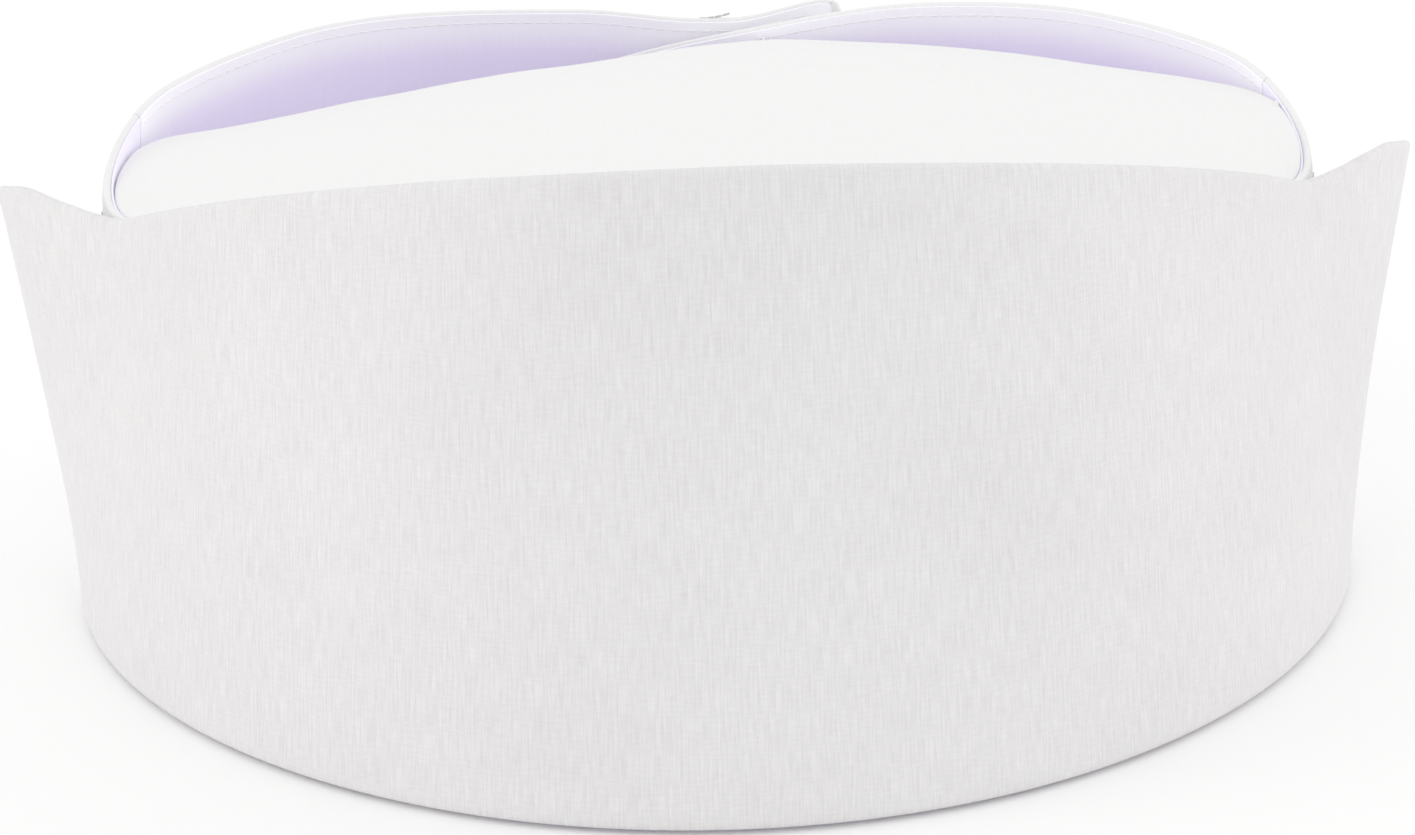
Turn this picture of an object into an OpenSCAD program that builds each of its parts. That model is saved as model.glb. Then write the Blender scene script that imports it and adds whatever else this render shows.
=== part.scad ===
// Winged service cap: a turned-up front cuff, a flat crown and two overlapping rear tails.
// Millimetres. +Z is up, the front faces -Y, and left and right are as seen from the front: +X is right.
// The origin is the centre of the head opening, on the plane of the bottom edge.
// Angles run round the opening from the front centre: +90 is the +X side, 180 is the rear.

/* [Head opening] */
// Half of the opening's width at the bottom edge
opening_half_width = 102; // [84:1:124]
// Depth of the front half at the bottom edge, from the widest line to the front
front_depth = 90; // [74:1:110]
// Depth of the rear half at the bottom edge
rear_depth = 88; // [72:1:108]
// How far the sides lean in for each millimetre of height
side_taper = 0.095; // [0:0.01:0.2]
// How far the front and the rear lean in for each millimetre of height
front_taper = 0.10; // [0:0.01:0.2]
// How pointed the front half is: 1 is an ellipse
front_point = 1.135; // [1:0.01:1.4]

/* [Cuff] */
// Height of the cuff at the front centre
cuff_front_height = 95; // [78:0.5:116]
// Height of the cuff at the sides, before the wings lift
cuff_side_height = 58.5; // [46:0.5:66]
// Angle where the wings leave the band
wing_start = 66; // [56:1:76]
// How far a wing tip spreads sideways, at the side height
wing_spread = 13.5; // [8:0.5:22]
// How far a wing tip sweeps back, at the side height
wing_sweep = 8; // [4:0.5:14]
// How much higher the wing tips are than the side height
wing_lift = 8.5; // [0:0.5:12]
// How far the top edge dips where the wing leaves the band
wing_dip = 1.3; // [0:0.1:3]
// How late the wing flares out over its height: 1 is a straight flare
wing_curl = 1.2; // [1:0.05:2]
// Radius of the wing tip's corner
wing_corner = 5; // [2:0.5:8]

/* [Crown] */
// How far the band's top edge stays below the cuff's top edge at the front
band_drop = 3.5; // [2:0.5:8]
// Height of the band's rim at the sides
band_side_height = 68.5; // [56:0.5:72]
// How far the crown's edge lies below the band's top edge
crown_drop = 0.8; // [0.4:0.1:3]
// Angle of the crown's rear corners
crown_corner_angle = 103; // [94:1:106]
// How far the crown's rear corners lie below the tails' rim
crown_corner_drop = 4.5; // [2:0.5:10]
// How much higher the right rear corner is than that, and how much lower the left one
crown_tilt = 1.4; // [0:0.1:2]
// How much the crown's rear corners are rounded
crown_corner_round = 6; // [2:0.5:10]
// Sideways place of the crown's rear point
crown_point_x = 12; // [-10:1:20]
// How far the crown's rear point stays in front of the inner tail
crown_point_gap = 1.6; // [1:0.1:6]
// How far the crown's rear point lies below the rim at the rear crossing
crown_point_drop = 4; // [1:0.5:8]
// Extra dome of the crown in its middle
crown_dome = 3; // [0:0.5:8]
// Width of the crown's sewn edge, turned down inside the band
crown_flange = 6; // [4:0.5:12]

/* [Tails] */
// Angle of the side seams, where the tails begin
seam_angle = 103; // [100:1:112]
// Angle where the outer tail ends, measured round from the front: past 180 the tails overlap
tail_end_angle = 195; // [190:1:200]
// How many degrees further the inner tail reaches
inner_reach = 5; // [0:1:8]
// Height of the tails' rim
rim_height = 76; // [63:0.5:80]
// How far the rim dips at the rear crossing
rim_dip = 5.5; // [0:0.5:10]
// How far the tails' bottom edge rises at the rear
nape_rise = 30; // [0:1:36]
// Radius of the corners at the tails' ends
tail_corner = 2.5; // [2:0.5:10]
// How far the end of the inner tail curls inward
inner_curl = 5; // [0:0.5:8]
// How far the inner tail's rim falls towards its end
inner_fall = 9; // [0:0.5:12]
// How far the end of the outer tail springs outward
outer_spring = 4.5; // [0:0.5:8]
// How far the outer tail's rim sags at the rear crossing
outer_sag = 2; // [0:0.5:4]
// How far the rim lifts at the end of the outer tail
outer_lift = 2.5; // [0:0.5:4]
// Gap left open at the side seam of the outer tail, which folds there
fold_gap = 0.6; // [0.4:0.1:2]

/* [Cloth] */
// Thickness of one cloth ply
cloth = 0.5; // [0.3:0.05:0.8]
// Thickness of the stiff interlining
stiffener = 0.4; // [0.3:0.05:0.8]
// Space between two plies
ply_gap = 0.1; // [0.08:0.01:0.3]
// Space between the cuff and the band behind it
cuff_gap = 0.5; // [0.3:0.1:2]

/* [Closure] */
// Length of the hook and loop patches, along the tail
patch_length = 30; // [20:1:36]
// Height of the hook and loop patches
patch_height = 20; // [12:1:24]
// Thickness of each patch
patch_thickness = 1; // [0.8:0.1:1.6]
// Space between the closed patches
patch_clearance = 0.45; // [0.4:0.05:1]
// Space between a patch and the tail that it is sewn to
patch_seat = 0.25; // [0.2:0.05:0.5]
// How far each patch's middle is from the rear centre, to the right
patch_shift = 6; // [0:1:8]
// How far the hook patch stays below its rim
hook_drop = 1; // [0.5:0.5:4]
// How far the loop patch stays below its rim
loop_drop = 5.5; // [3:0.5:8]

/* [Thread] */
// Thickness of the sewing thread
thread = 0.35; // [0.25:0.05:0.6]
// Length of one stitch
stitch = 2.6; // [2:0.1:4]
// Space between two stitches
stitch_space = 1.2; // [0.6:0.1:3]
// Distance from a hemmed edge to its row of stitches
hem_margin = 1.5; // [1:0.1:4]

/* [Hidden] */

// Depths of the plies, measured inward from the cuff's outer face
ply_step = cloth + ply_gap;
stiffener_step = stiffener + ply_gap;
ply_stack = ply_step + stiffener_step + cloth;
wall_depth = ply_stack + cuff_gap;
wall_inside = wall_depth + ply_stack;
crown_inset = 0.3;
crown_point_height = rim_height - rim_dip - crown_point_drop;
// The outer tail passes outside the inner one, with both patches between them
tail_offset = ply_stack + 2 * (patch_thickness + patch_seat) + patch_clearance;
// Angles where the spiral of the outer tail begins and is complete
spiral_start = seam_angle + 6;
spiral_end = 160;
// Angle where the dip at the foot of the wing begins
wing_dip_start = 80;
// Angles where the inner tail's end begins to curl inward and the outer one's to spring outward
curl_start = 178;
spring_start = 184;
inner_end_angle = tail_end_angle + inner_reach;
// Angles over which the inner tail's rim falls, and the outer one's sags
fall_start = 155;
fall_end = 205;
sag_start = 168;
sag_end = 182;
// Angles over which the band's rim climbs from the sides to the tails
rim_climb_start = 74;
rim_climb_end = 113;
// Angle where the rim begins to dip towards the rear crossing
dip_start = 134;
// Fine thickness steps at a rounded end
end_steps = [0, 0.1, 0.3, 0.6, 1];
white = "white";
shade = "lavender";
thread_white = "whitesmoke";

// ---- Small helpers ----
function smooth(s) = let (c = max(0, min(1, s))) c * c * (3 - 2 * c);
function side_of(t) = t < 0 ? -1 : 1;
// How much a corner of radius r takes off an edge at distance s from the end
function corner_cut(s, r) = s >= r ? 0 : r - sqrt(r * r - (r - s) * (r - s));
function mix(a, b, s) = a * (1 - s) + b * s;

// ---- Plan of the opening at height z ----
function ring_xy(t, z) =
    let (c = cos(t),
         depth = c >= 0 ? front_depth : rear_depth,
         power = c >= 0 ? front_point : 1)
    [(opening_half_width - side_taper * z) * sin(t),
     -(depth - front_taper * z) * sign(c) * pow(abs(c), power)];
function wing(t) = smooth((abs(t) - wing_start) / (90 - wing_start));
function cuff_xy(t, z) =
    ring_xy(t, z) + wing(t) * pow(max(0, z) / cuff_side_height, wing_curl)
        * [side_of(t) * wing_spread, wing_sweep];
// A point moved inward by depth d, square to the plan curve
function inward(p, before, after, d) =
    let (run = after - before) p - d * [run.y, -run.x] / norm(run);
function on_ring(t, z, d) =
    let (q = inward(ring_xy(t, z), ring_xy(t - 0.5, z), ring_xy(t + 0.5, z), d)) [q.x, q.y, z];
function on_cuff(t, z, d) =
    let (q = inward(cuff_xy(t, z), cuff_xy(t - 0.5, z), cuff_xy(t + 0.5, z), d)) [q.x, q.y, z];

// ---- Edges ----
function arc_to_end(t, end) = abs(end - abs(t)) * PI / 180 * opening_half_width;
function cuff_top(t) =
    cuff_side_height + (cuff_front_height - cuff_side_height) * cos(t)
    + wing_lift * wing(t) - wing_dip * smooth((abs(t) - wing_dip_start) / 6)
    - corner_cut(arc_to_end(t, 90), wing_corner);
function band_top(t) =
    let (c = max(0, cos(t)), front = cuff_front_height - band_drop)
    band_side_height + (front - band_side_height) * c * c
    + (rim_height - band_side_height)
        * smooth((abs(t) - rim_climb_start) / (rim_climb_end - rim_climb_start));
function tail_rim(t) = band_top(t) - rim_dip * smooth((abs(t) - dip_start) / (180 - dip_start));
function tail_hem(t) = nape_rise * smooth((abs(t) - seam_angle) / (185 - seam_angle));
function end_curl(t) = smooth((abs(t) - curl_start) / (inner_end_angle - curl_start));
function end_spring(t) = smooth((abs(t) - spring_start) / (tail_end_angle - spring_start));
function end_cut(t, end) = corner_cut(arc_to_end(t, end), tail_corner);
function inner_rim(t) =
    tail_rim(t) - inner_fall * smooth((abs(t) - fall_start) / (fall_end - fall_start))
    - end_cut(t, inner_end_angle);
function outer_rim(t) =
    tail_rim(t) - outer_sag * smooth((abs(t) - sag_start) / (sag_end - sag_start))
    + outer_lift * end_spring(t) - end_cut(t, tail_end_angle);
function inner_depth(t) = wall_depth + inner_curl * end_curl(t);
function outer_depth(t) =
    wall_depth - tail_offset * smooth((abs(t) - spiral_start) / (spiral_end - spiral_start))
    - outer_spring * end_spring(t);

// ---- Sheets ----
// A thick sheet: rows[i] holds the pairs [outer point, inner point] along one station
module sheet(rows) {
    n = len(rows[0]);
    last = len(rows) - 1;
    points = [for (row = rows) each concat([for (pair = row) pair[0]], [for (pair = row) pair[1]])];
    function outer(i, j) = 2 * n * i + j;
    function inner(i, j) = 2 * n * i + n + j;
    function quad(a, b, c, d) = [[a, b, c], [a, c, d]];
    faces = [
        for (i = [0 : last - 1]) for (j = [0 : n - 2]) each concat(
            quad(outer(i, j), outer(i, j + 1), outer(i + 1, j + 1), outer(i + 1, j)),
            quad(inner(i, j), inner(i + 1, j), inner(i + 1, j + 1), inner(i, j + 1))),
        for (i = [0 : last - 1]) each concat(
            quad(outer(i, 0), outer(i + 1, 0), inner(i + 1, 0), inner(i, 0)),
            quad(outer(i, n - 1), inner(i, n - 1), inner(i + 1, n - 1), outer(i + 1, n - 1))),
        for (j = [0 : n - 2]) each concat(
            quad(outer(0, j), inner(0, j), inner(0, j + 1), outer(0, j + 1)),
            quad(outer(last, j), outer(last, j + 1), inner(last, j + 1), inner(last, j)))];
    polyhedron(points = points, faces = faces, convexity = 8);
}

// Angles from one end to the other in even steps, with finer steps at rounded ends
function even(from, to, count) = [for (i = [0 : count]) mix(from, to, i / count)];
function wing_angles() =
    let (fine = wing_corner / opening_half_width * 180 / PI)
    concat([for (i = [0 : 4]) -90 + fine * end_steps[i]],
           [for (t = even(-90 + fine, 90 - fine, 30)) if (abs(t) < 89.9 - fine) t],
           [for (i = [4 : -1 : 0]) 90 - fine * end_steps[i]]);
function tail_angles(end) =
    let (fine = tail_corner / opening_half_width * 180 / PI, start = seam_angle + fold_angle / 2)
    concat(even(start, end - fine, 22),
           [for (i = [3 : -1 : 0]) end - fine * max(0.01, end_steps[i])]);
fold_angle = fold_gap / opening_half_width * 180 / PI;

cuff_levels = [0.08, 0.28, 0.46, 0.62, 0.77, 0.9];
levels = [0, 0.35, 0.7, 1];

// One straight-up ply between two heights, at a depth
module ring_ply(angles, depth, thickness, low, high) {
    sheet([for (t = angles) [for (v = levels)
        let (z = mix(low(t), high(t), v), d = depth(t))
        [on_ring(t, z, d), on_ring(t, z, d + thickness)]]]);
}

// ---- Cuff ----
module cuff_face() {
    color(white) sheet([for (t = wing_angles()) let (h = cuff_top(t)) concat(
        [[on_cuff(t, 0, wall_inside), on_cuff(t, cloth, wall_inside)],
         [on_cuff(t, 0, 0), on_cuff(t, cloth, cloth)]],
        [for (v = cuff_levels) [on_cuff(t, h * v, 0), on_cuff(t, h * v, cloth)]],
        [[on_cuff(t, h, 0), on_cuff(t, h - cloth, cloth)],
         [on_cuff(t, h, ply_stack), on_cuff(t, h - cloth, ply_stack)]])]);
}

module cuff_ply(depth, thickness) {
    edge = cloth + ply_gap;
    sheet([for (t = wing_angles()) let (h = cuff_top(t)) [for (v = concat(0, cuff_levels, 1))
        let (z = max(edge, min(h - edge, h * v)))
        [on_cuff(t, z, depth), on_cuff(t, z, depth + thickness)]]]);
}

module cuff_interlining() {
    color(shade) cuff_ply(ply_step, stiffener);
}

module cuff_backing() {
    color(white) cuff_ply(ply_step + stiffener_step, cloth);
}

// ---- Band round the head ----
module band_ply(inset, thickness, drop) {
    ring_ply(even(-seam_angle + fold_angle / 2, seam_angle, 34),
        function(t) wall_depth + inset, thickness,
        function(t) cloth + ply_gap, function(t) band_top(t) - drop);
}

module crown_wall() {
    color(white) band_ply(0, cloth, 0);
}

module crown_wall_interlining() {
    color(shade) band_ply(ply_step, stiffener, hem_margin + thread);
}

module crown_wall_lining() {
    color(white) band_ply(ply_step + stiffener_step, cloth, 0);
}

// ---- Crown ----
// The crown's outline: a front and side edge inside the band, and two straight rear edges
crown_side_angle = 2 * 90 - crown_corner_angle;
function crown_corner_height(side) = rim_height - crown_corner_drop + side * crown_tilt;
function crown_edge_height(t) =
    abs(t) <= crown_side_angle ? band_top(t) - crown_drop
    : mix(band_top(crown_side_angle) - crown_drop, crown_corner_height(side_of(t)),
          (abs(t) - crown_side_angle) / (crown_corner_angle - crown_side_angle));
function crown_edge(t) = on_ring(t, crown_edge_height(t), wall_inside + crown_inset);
crown_corner = crown_edge(crown_corner_angle);
// Where the rounded corner meets the side edge
crown_corner_x =
    crown_edge(crown_corner_angle - crown_corner_round / opening_half_width * 180 / PI).x;
function rear_limit(x, z) =
    let (a = opening_half_width - side_taper * z, b = rear_depth - front_taper * z)
    b * sqrt(1 - x * x / (a * a)) - wall_inside - crown_point_gap;
crown_point = [crown_point_x, rear_limit(crown_point_x, crown_point_height), crown_point_height];
function crown_rear(u) =
    let (x = crown_corner_x * sin(90 * u), side = x < crown_point.x ? -1 : 1,
         s = (x - crown_point.x) / (side * crown_corner.x - crown_point.x))
    [x, mix(crown_point.y, crown_corner.y, s)
        - corner_cut(crown_corner_x - abs(x), crown_corner_round),
     mix(crown_point.z, crown_corner_height(side), s)];
// Extra bow of the side edges, which follow the ring between front and rear
side_bow = crown_edge(90).x - (crown_edge(crown_side_angle).x + crown_corner_x) / 2;
function crown_at(u, v, down) =
    let (front = crown_edge(crown_side_angle * u), rear = crown_rear(u), hump = 4 * v * (1 - v))
    mix(front, rear, v)
    + [side_of(u) * side_bow * hump * pow(abs(u), 8), 0, crown_dome * hump * cos(90 * u) - down];
// Stations across the crown, with one on the line of the rear point
point_station = asin(crown_point.x / crown_corner_x) / 90;
crown_stations = concat(even(-1, point_station, 12),
    [for (i = [1 : 11]) mix(point_station, 1, i / 11)]);
function crown_flange_at(u, down, inset) =
    let (t = crown_side_angle * u)
    on_ring(t, crown_edge_height(t) - down, wall_inside + crown_inset + inset);

module crown_ply(lift, thickness, flange) {
    sheet([for (u = crown_stations) concat(
        flange <= 0 ? [] :
        [[crown_flange_at(u, flange, 0), crown_flange_at(u, flange, thickness)]],
        [for (v = even(0, 1, 7))
         [v == 0 ? crown_flange_at(u, lift, lift) : crown_at(u, v, lift),
          v == 0 ? crown_flange_at(u, lift + thickness, lift + thickness)
                 : crown_at(u, v, lift + thickness)]])]);
}

module crown_top() {
    color(white) crown_ply(0, cloth, crown_flange);
}

module crown_top_lining() {
    color(shade) crown_ply(ply_step, cloth, 0);
}

// ---- Tails: the right one is inside, the left one is outside and is mirrored ----
module inner_tail_ply(inset, thickness, drop) {
    ring_ply(tail_angles(inner_end_angle), function(t) inner_depth(t) + inset, thickness,
        function(t) tail_hem(t) + end_cut(t, inner_end_angle) + cloth + ply_gap + drop,
        function(t) inner_rim(t) - drop);
}

module outer_tail_ply(inset, thickness, drop) {
    mirror([1, 0, 0]) ring_ply(tail_angles(tail_end_angle),
        function(t) outer_depth(t) + inset, thickness,
        function(t) tail_hem(t) + end_cut(t, tail_end_angle) + cloth + ply_gap + drop,
        function(t) outer_rim(t) - drop);
}

module right_tail_face() {
    color(white) inner_tail_ply(0, cloth, 0);
}

module right_tail_interlining() {
    color(shade) inner_tail_ply(ply_step, stiffener, hem_margin + thread);
}

module right_tail_lining() {
    color(white) inner_tail_ply(ply_step + stiffener_step, cloth, 0);
}

module left_tail_face() {
    color(white) outer_tail_ply(0, cloth, 0);
}

module left_tail_interlining() {
    color(shade) outer_tail_ply(ply_step, stiffener, hem_margin + thread);
}

module left_tail_lining() {
    color(white) outer_tail_ply(ply_step + stiffener_step, cloth, 0);
}

// ---- Closure patches at the rear crossing, each along its own tail's rim ----
patch_span = patch_length / 2 / rear_depth * 180 / PI;
patch_turn = patch_shift / rear_depth * 180 / PI;
hook_middle = 180 - patch_turn;
loop_middle = 180 + patch_turn;
function patch_angles(middle) = even(middle - patch_span, middle + patch_span, 6);
function hook_top(t) = inner_rim(t) - hook_drop;
function loop_top(t) = outer_rim(t) - loop_drop;

module hook_patch() {
    color(shade) ring_ply(patch_angles(hook_middle),
        function(t) inner_depth(t) - patch_seat - patch_thickness, patch_thickness,
        function(t) hook_top(t) - patch_height, function(t) hook_top(t));
}

module loop_patch() {
    color(shade) mirror([1, 0, 0]) ring_ply(patch_angles(loop_middle),
        function(t) outer_depth(t) + ply_stack + patch_seat, patch_thickness,
        function(t) loop_top(t) - patch_height, function(t) loop_top(t));
}

// ---- Thread ----
// One stitch: a thread cylinder from a to b
module stitch_between(a, b) {
    run = b - a;
    length = norm(run);
    translate(a) rotate([0, acos(run.z / length), atan2(run.y, run.x)])
        cylinder(d = thread, h = length, $fn = 16);
}

// A row of stitches along a path given as a function of the angle
module stitch_row(from, to, radius, at) {
    count = max(1, floor((to - from) * PI / 180 * radius / (stitch + stitch_space)));
    pitch = (to - from) / count;
    share = stitch / (stitch + stitch_space);
    for (i = [0 : count - 1])
        stitch_between(at(from + i * pitch), at(from + (i + share) * pitch));
}

// Space under a thread on an outer face, and on an inner face, which its stitches bridge
thread_gap = 0.05;
thread_gap_inside = 0.25;
// Depth of a thread lying on an outer face, and of one lying on an inner face
function over(depth) = depth - thread / 2 - thread_gap;
function under(depth) = depth + thread / 2 + thread_gap_inside;

module band_hem_stitching() {
    color(thread_white) for (side = [-1, 1])
        stitch_row(crown_side_angle, seam_angle - 2, opening_half_width, function(t)
            on_ring(side * t, band_top(t) - hem_margin, over(wall_depth)));
}

module right_tail_hem_stitching() {
    color(thread_white) stitch_row(seam_angle + 2, inner_end_angle - 4, rear_depth, function(t)
        on_ring(t, inner_rim(t) - hem_margin, under(inner_depth(t) + ply_stack)));
}

module left_tail_hem_stitching() {
    color(thread_white) mirror([1, 0, 0])
        stitch_row(seam_angle + 2, tail_end_angle - 3, rear_depth, function(t)
            on_ring(t, outer_rim(t) - hem_margin, under(outer_depth(t) + ply_stack)));
}

module crown_seam_stitching() {
    color(thread_white) stitch_row(-crown_side_angle + 4, crown_side_angle - 4, opening_half_width,
        function(t) on_ring(t, crown_edge_height(t) - crown_flange + hem_margin,
            under(wall_inside + crown_inset + cloth)));
}

// A column of stitches up a side seam, just beside it
module seam_column(t, depth, low, high) {
    count = floor((high - low) / (stitch + stitch_space));
    for (i = [0 : count - 1])
        let (z = low + (i + 0.5) * (stitch + stitch_space))
        stitch_between(on_ring(t, z, depth), on_ring(t, z + stitch, depth));
}

seam_inset = 1.6;
seam_low = 3;

module right_seam_stitching() {
    t = seam_angle - seam_inset;
    color(thread_white) seam_column(t, over(wall_depth), seam_low, band_top(t) - 2 * hem_margin);
}

module left_seam_stitching() {
    t = seam_angle - seam_inset;
    color(thread_white) mirror([1, 0, 0])
        seam_column(t, over(wall_depth), seam_low, band_top(t) - 2 * hem_margin);
}

// Two rows of stitches along the top and the bottom of a patch
module patch_rows(middle, top, bottom, depth) {
    edge = hem_margin / rear_depth * 180 / PI;
    for (height = [top, bottom])
        stitch_row(middle - patch_span + edge, middle + patch_span - edge, rear_depth,
            function(t) on_ring(t, height(t), depth(t)));
}

module hook_patch_stitching() {
    color(thread_white) patch_rows(hook_middle,
        function(t) hook_top(t) - 2 * hem_margin,
        function(t) hook_top(t) - patch_height + hem_margin,
        function(t) under(inner_depth(t) + ply_stack));
}

module loop_patch_stitching() {
    color(thread_white) mirror([1, 0, 0]) patch_rows(loop_middle,
        function(t) loop_top(t) - hem_margin,
        function(t) loop_top(t) - patch_height + hem_margin,
        function(t) over(outer_depth(t)) - thread_gap);
}

// ---- Tacks ----
tack_angle = 84;
tack_threads = 3;

// A bar tack on the band's outer face, where the cuff's top edge leaves it
module cuff_tack(side) {
    for (i = [0 : tack_threads - 1])
        let (z = band_top(tack_angle) - 2 * hem_margin - thread * (1.1 * i + 1))
        stitch_between(on_ring(side * tack_angle, z, over(wall_depth)),
                       on_ring(side * (tack_angle + 2), z, over(wall_depth)));
}

module right_cuff_tack() {
    color(thread_white) cuff_tack(1);
}

module left_cuff_tack() {
    color(thread_white) cuff_tack(-1);
}

// A thread from the crown's rear point to the inner tail's lining
module crown_tack() {
    start = crown_point + [0, thread_gap, -cloth / 2];
    gap = crown_point_gap - thread_gap - thread_gap_inside;
    color(thread_white) for (i = [-1 : 1])
        stitch_between(start + [i * 1.4 * thread, 0, 0], start + [i * 1.4 * thread, gap, 0]);
}

cuff_face();
cuff_interlining();
cuff_backing();
crown_wall();
crown_wall_interlining();
crown_wall_lining();
crown_top();
crown_top_lining();
right_tail_face();
right_tail_interlining();
right_tail_lining();
left_tail_face();
left_tail_interlining();
left_tail_lining();
hook_patch();
loop_patch();
hook_patch_stitching();
loop_patch_stitching();
band_hem_stitching();
right_tail_hem_stitching();
left_tail_hem_stitching();
crown_seam_stitching();
right_seam_stitching();
left_seam_stitching();
right_cuff_tack();
left_cuff_tack();
crown_tack();
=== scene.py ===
"""A winged service cap in starched white cloth: a turned-up cuff, a flat crown and two rear tails.

Lengths are in millimetres until a mesh is written, and angles are in degrees. Angles run round the
head opening from the front centre: +90 is the +X side and 180 is the rear.
"""

import sys

import logging
import math
from collections.abc import Callable
from dataclasses import dataclass, field
from enum import Enum

import bmesh
import bpy
import numpy as np
from mathutils import Matrix, Vector


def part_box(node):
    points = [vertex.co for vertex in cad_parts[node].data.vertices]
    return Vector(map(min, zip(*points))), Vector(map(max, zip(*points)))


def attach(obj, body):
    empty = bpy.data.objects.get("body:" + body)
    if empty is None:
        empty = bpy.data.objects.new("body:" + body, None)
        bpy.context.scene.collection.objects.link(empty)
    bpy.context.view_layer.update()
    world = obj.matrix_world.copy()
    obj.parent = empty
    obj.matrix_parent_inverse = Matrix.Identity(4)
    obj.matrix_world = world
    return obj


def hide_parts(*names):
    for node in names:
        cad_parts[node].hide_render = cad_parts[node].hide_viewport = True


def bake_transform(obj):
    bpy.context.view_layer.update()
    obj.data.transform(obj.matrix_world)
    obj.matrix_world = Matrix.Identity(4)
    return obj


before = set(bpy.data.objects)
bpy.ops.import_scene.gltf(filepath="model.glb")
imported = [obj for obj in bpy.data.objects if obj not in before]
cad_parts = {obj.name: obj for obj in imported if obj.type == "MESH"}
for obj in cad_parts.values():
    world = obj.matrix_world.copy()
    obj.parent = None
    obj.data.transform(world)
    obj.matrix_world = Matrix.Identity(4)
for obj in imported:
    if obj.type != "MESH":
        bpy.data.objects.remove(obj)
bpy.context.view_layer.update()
MM = 0.001
SHARP_ANGLE = math.radians(50)

# Depth behind the face, and thickness, of the inner plies
BUCKRAM_DEPTH = 0.5
BUCKRAM_THICKNESS = 0.3
LINING_DEPTH = 1.26
LINING_THICKNESS = 0.34
# Degrees left between two cloths that meet at a side seam
SEAM_GAP = 0.06

# Length and size of the slow waves in pressed cloth
RIPPLES = ((70.0, 0.16), (41.0, 0.09), (23.0, 0.05))
RIPPLE_LEAN = 0.5
RIPPLE_CROSS = 0.6
MM_PER_DEGREE = 1.7
log = logging.getLogger("cap")


class Side(Enum):
    """The side of the cap that a piece is on, as the sign of X."""

    RIGHT = 1
    LEFT = -1


class Slot(Enum):
    """The record's material slots."""

    CUFF = "cuff_cloth"
    CROWN = "crown_cloth"
    BAND = "band_cloth"
    LINING = "lining_cloth"
    STIFF = "stiff_interlining"
    HOOK = "hook_tape"
    LOOP = "loop_tape"
    THREAD = "sewing_thread"


# ---------------------------------------------------------------- numbers and curves


def smooth(share: np.ndarray | float) -> np.ndarray:
    """Eases a share from 0 to 1.

    Args:
        share: the share, which is clipped to 0..1.

    Returns:
        The eased share.
    """
    s = np.clip(share, 0.0, 1.0)
    return s * s * (3.0 - 2.0 * s)


def mix(low: np.ndarray | float, high: np.ndarray | float, share: np.ndarray | float) -> np.ndarray:
    """Returns the value a share of the way from low to high."""
    return low * (1.0 - share) + high * share


def eased(t: np.ndarray, start: float, end: float) -> np.ndarray:
    """Returns how far, from 0 to 1, an angle on either side has come from a start to an end."""
    return smooth((np.abs(t) - start) / (end - start))


def arc(degrees: np.ndarray | float, radius: float) -> np.ndarray | float:
    """Returns the length of an arc."""
    return degrees * math.pi / 180.0 * radius


def arc_angle(length: np.ndarray | float, radius: float) -> np.ndarray | float:
    """Returns the degrees that a length takes up round a circle."""
    return length / radius * 180.0 / math.pi


def corner_cut(distance: np.ndarray, radius: float) -> np.ndarray:
    """Works out how much a round corner takes off an edge.

    Args:
        distance: distance from the end of the edge.
        radius: the corner's radius.

    Returns:
        The height taken off at that distance.
    """
    inside = np.clip(radius - distance, 0.0, radius)
    return radius - np.sqrt(radius * radius - inside * inside)


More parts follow.
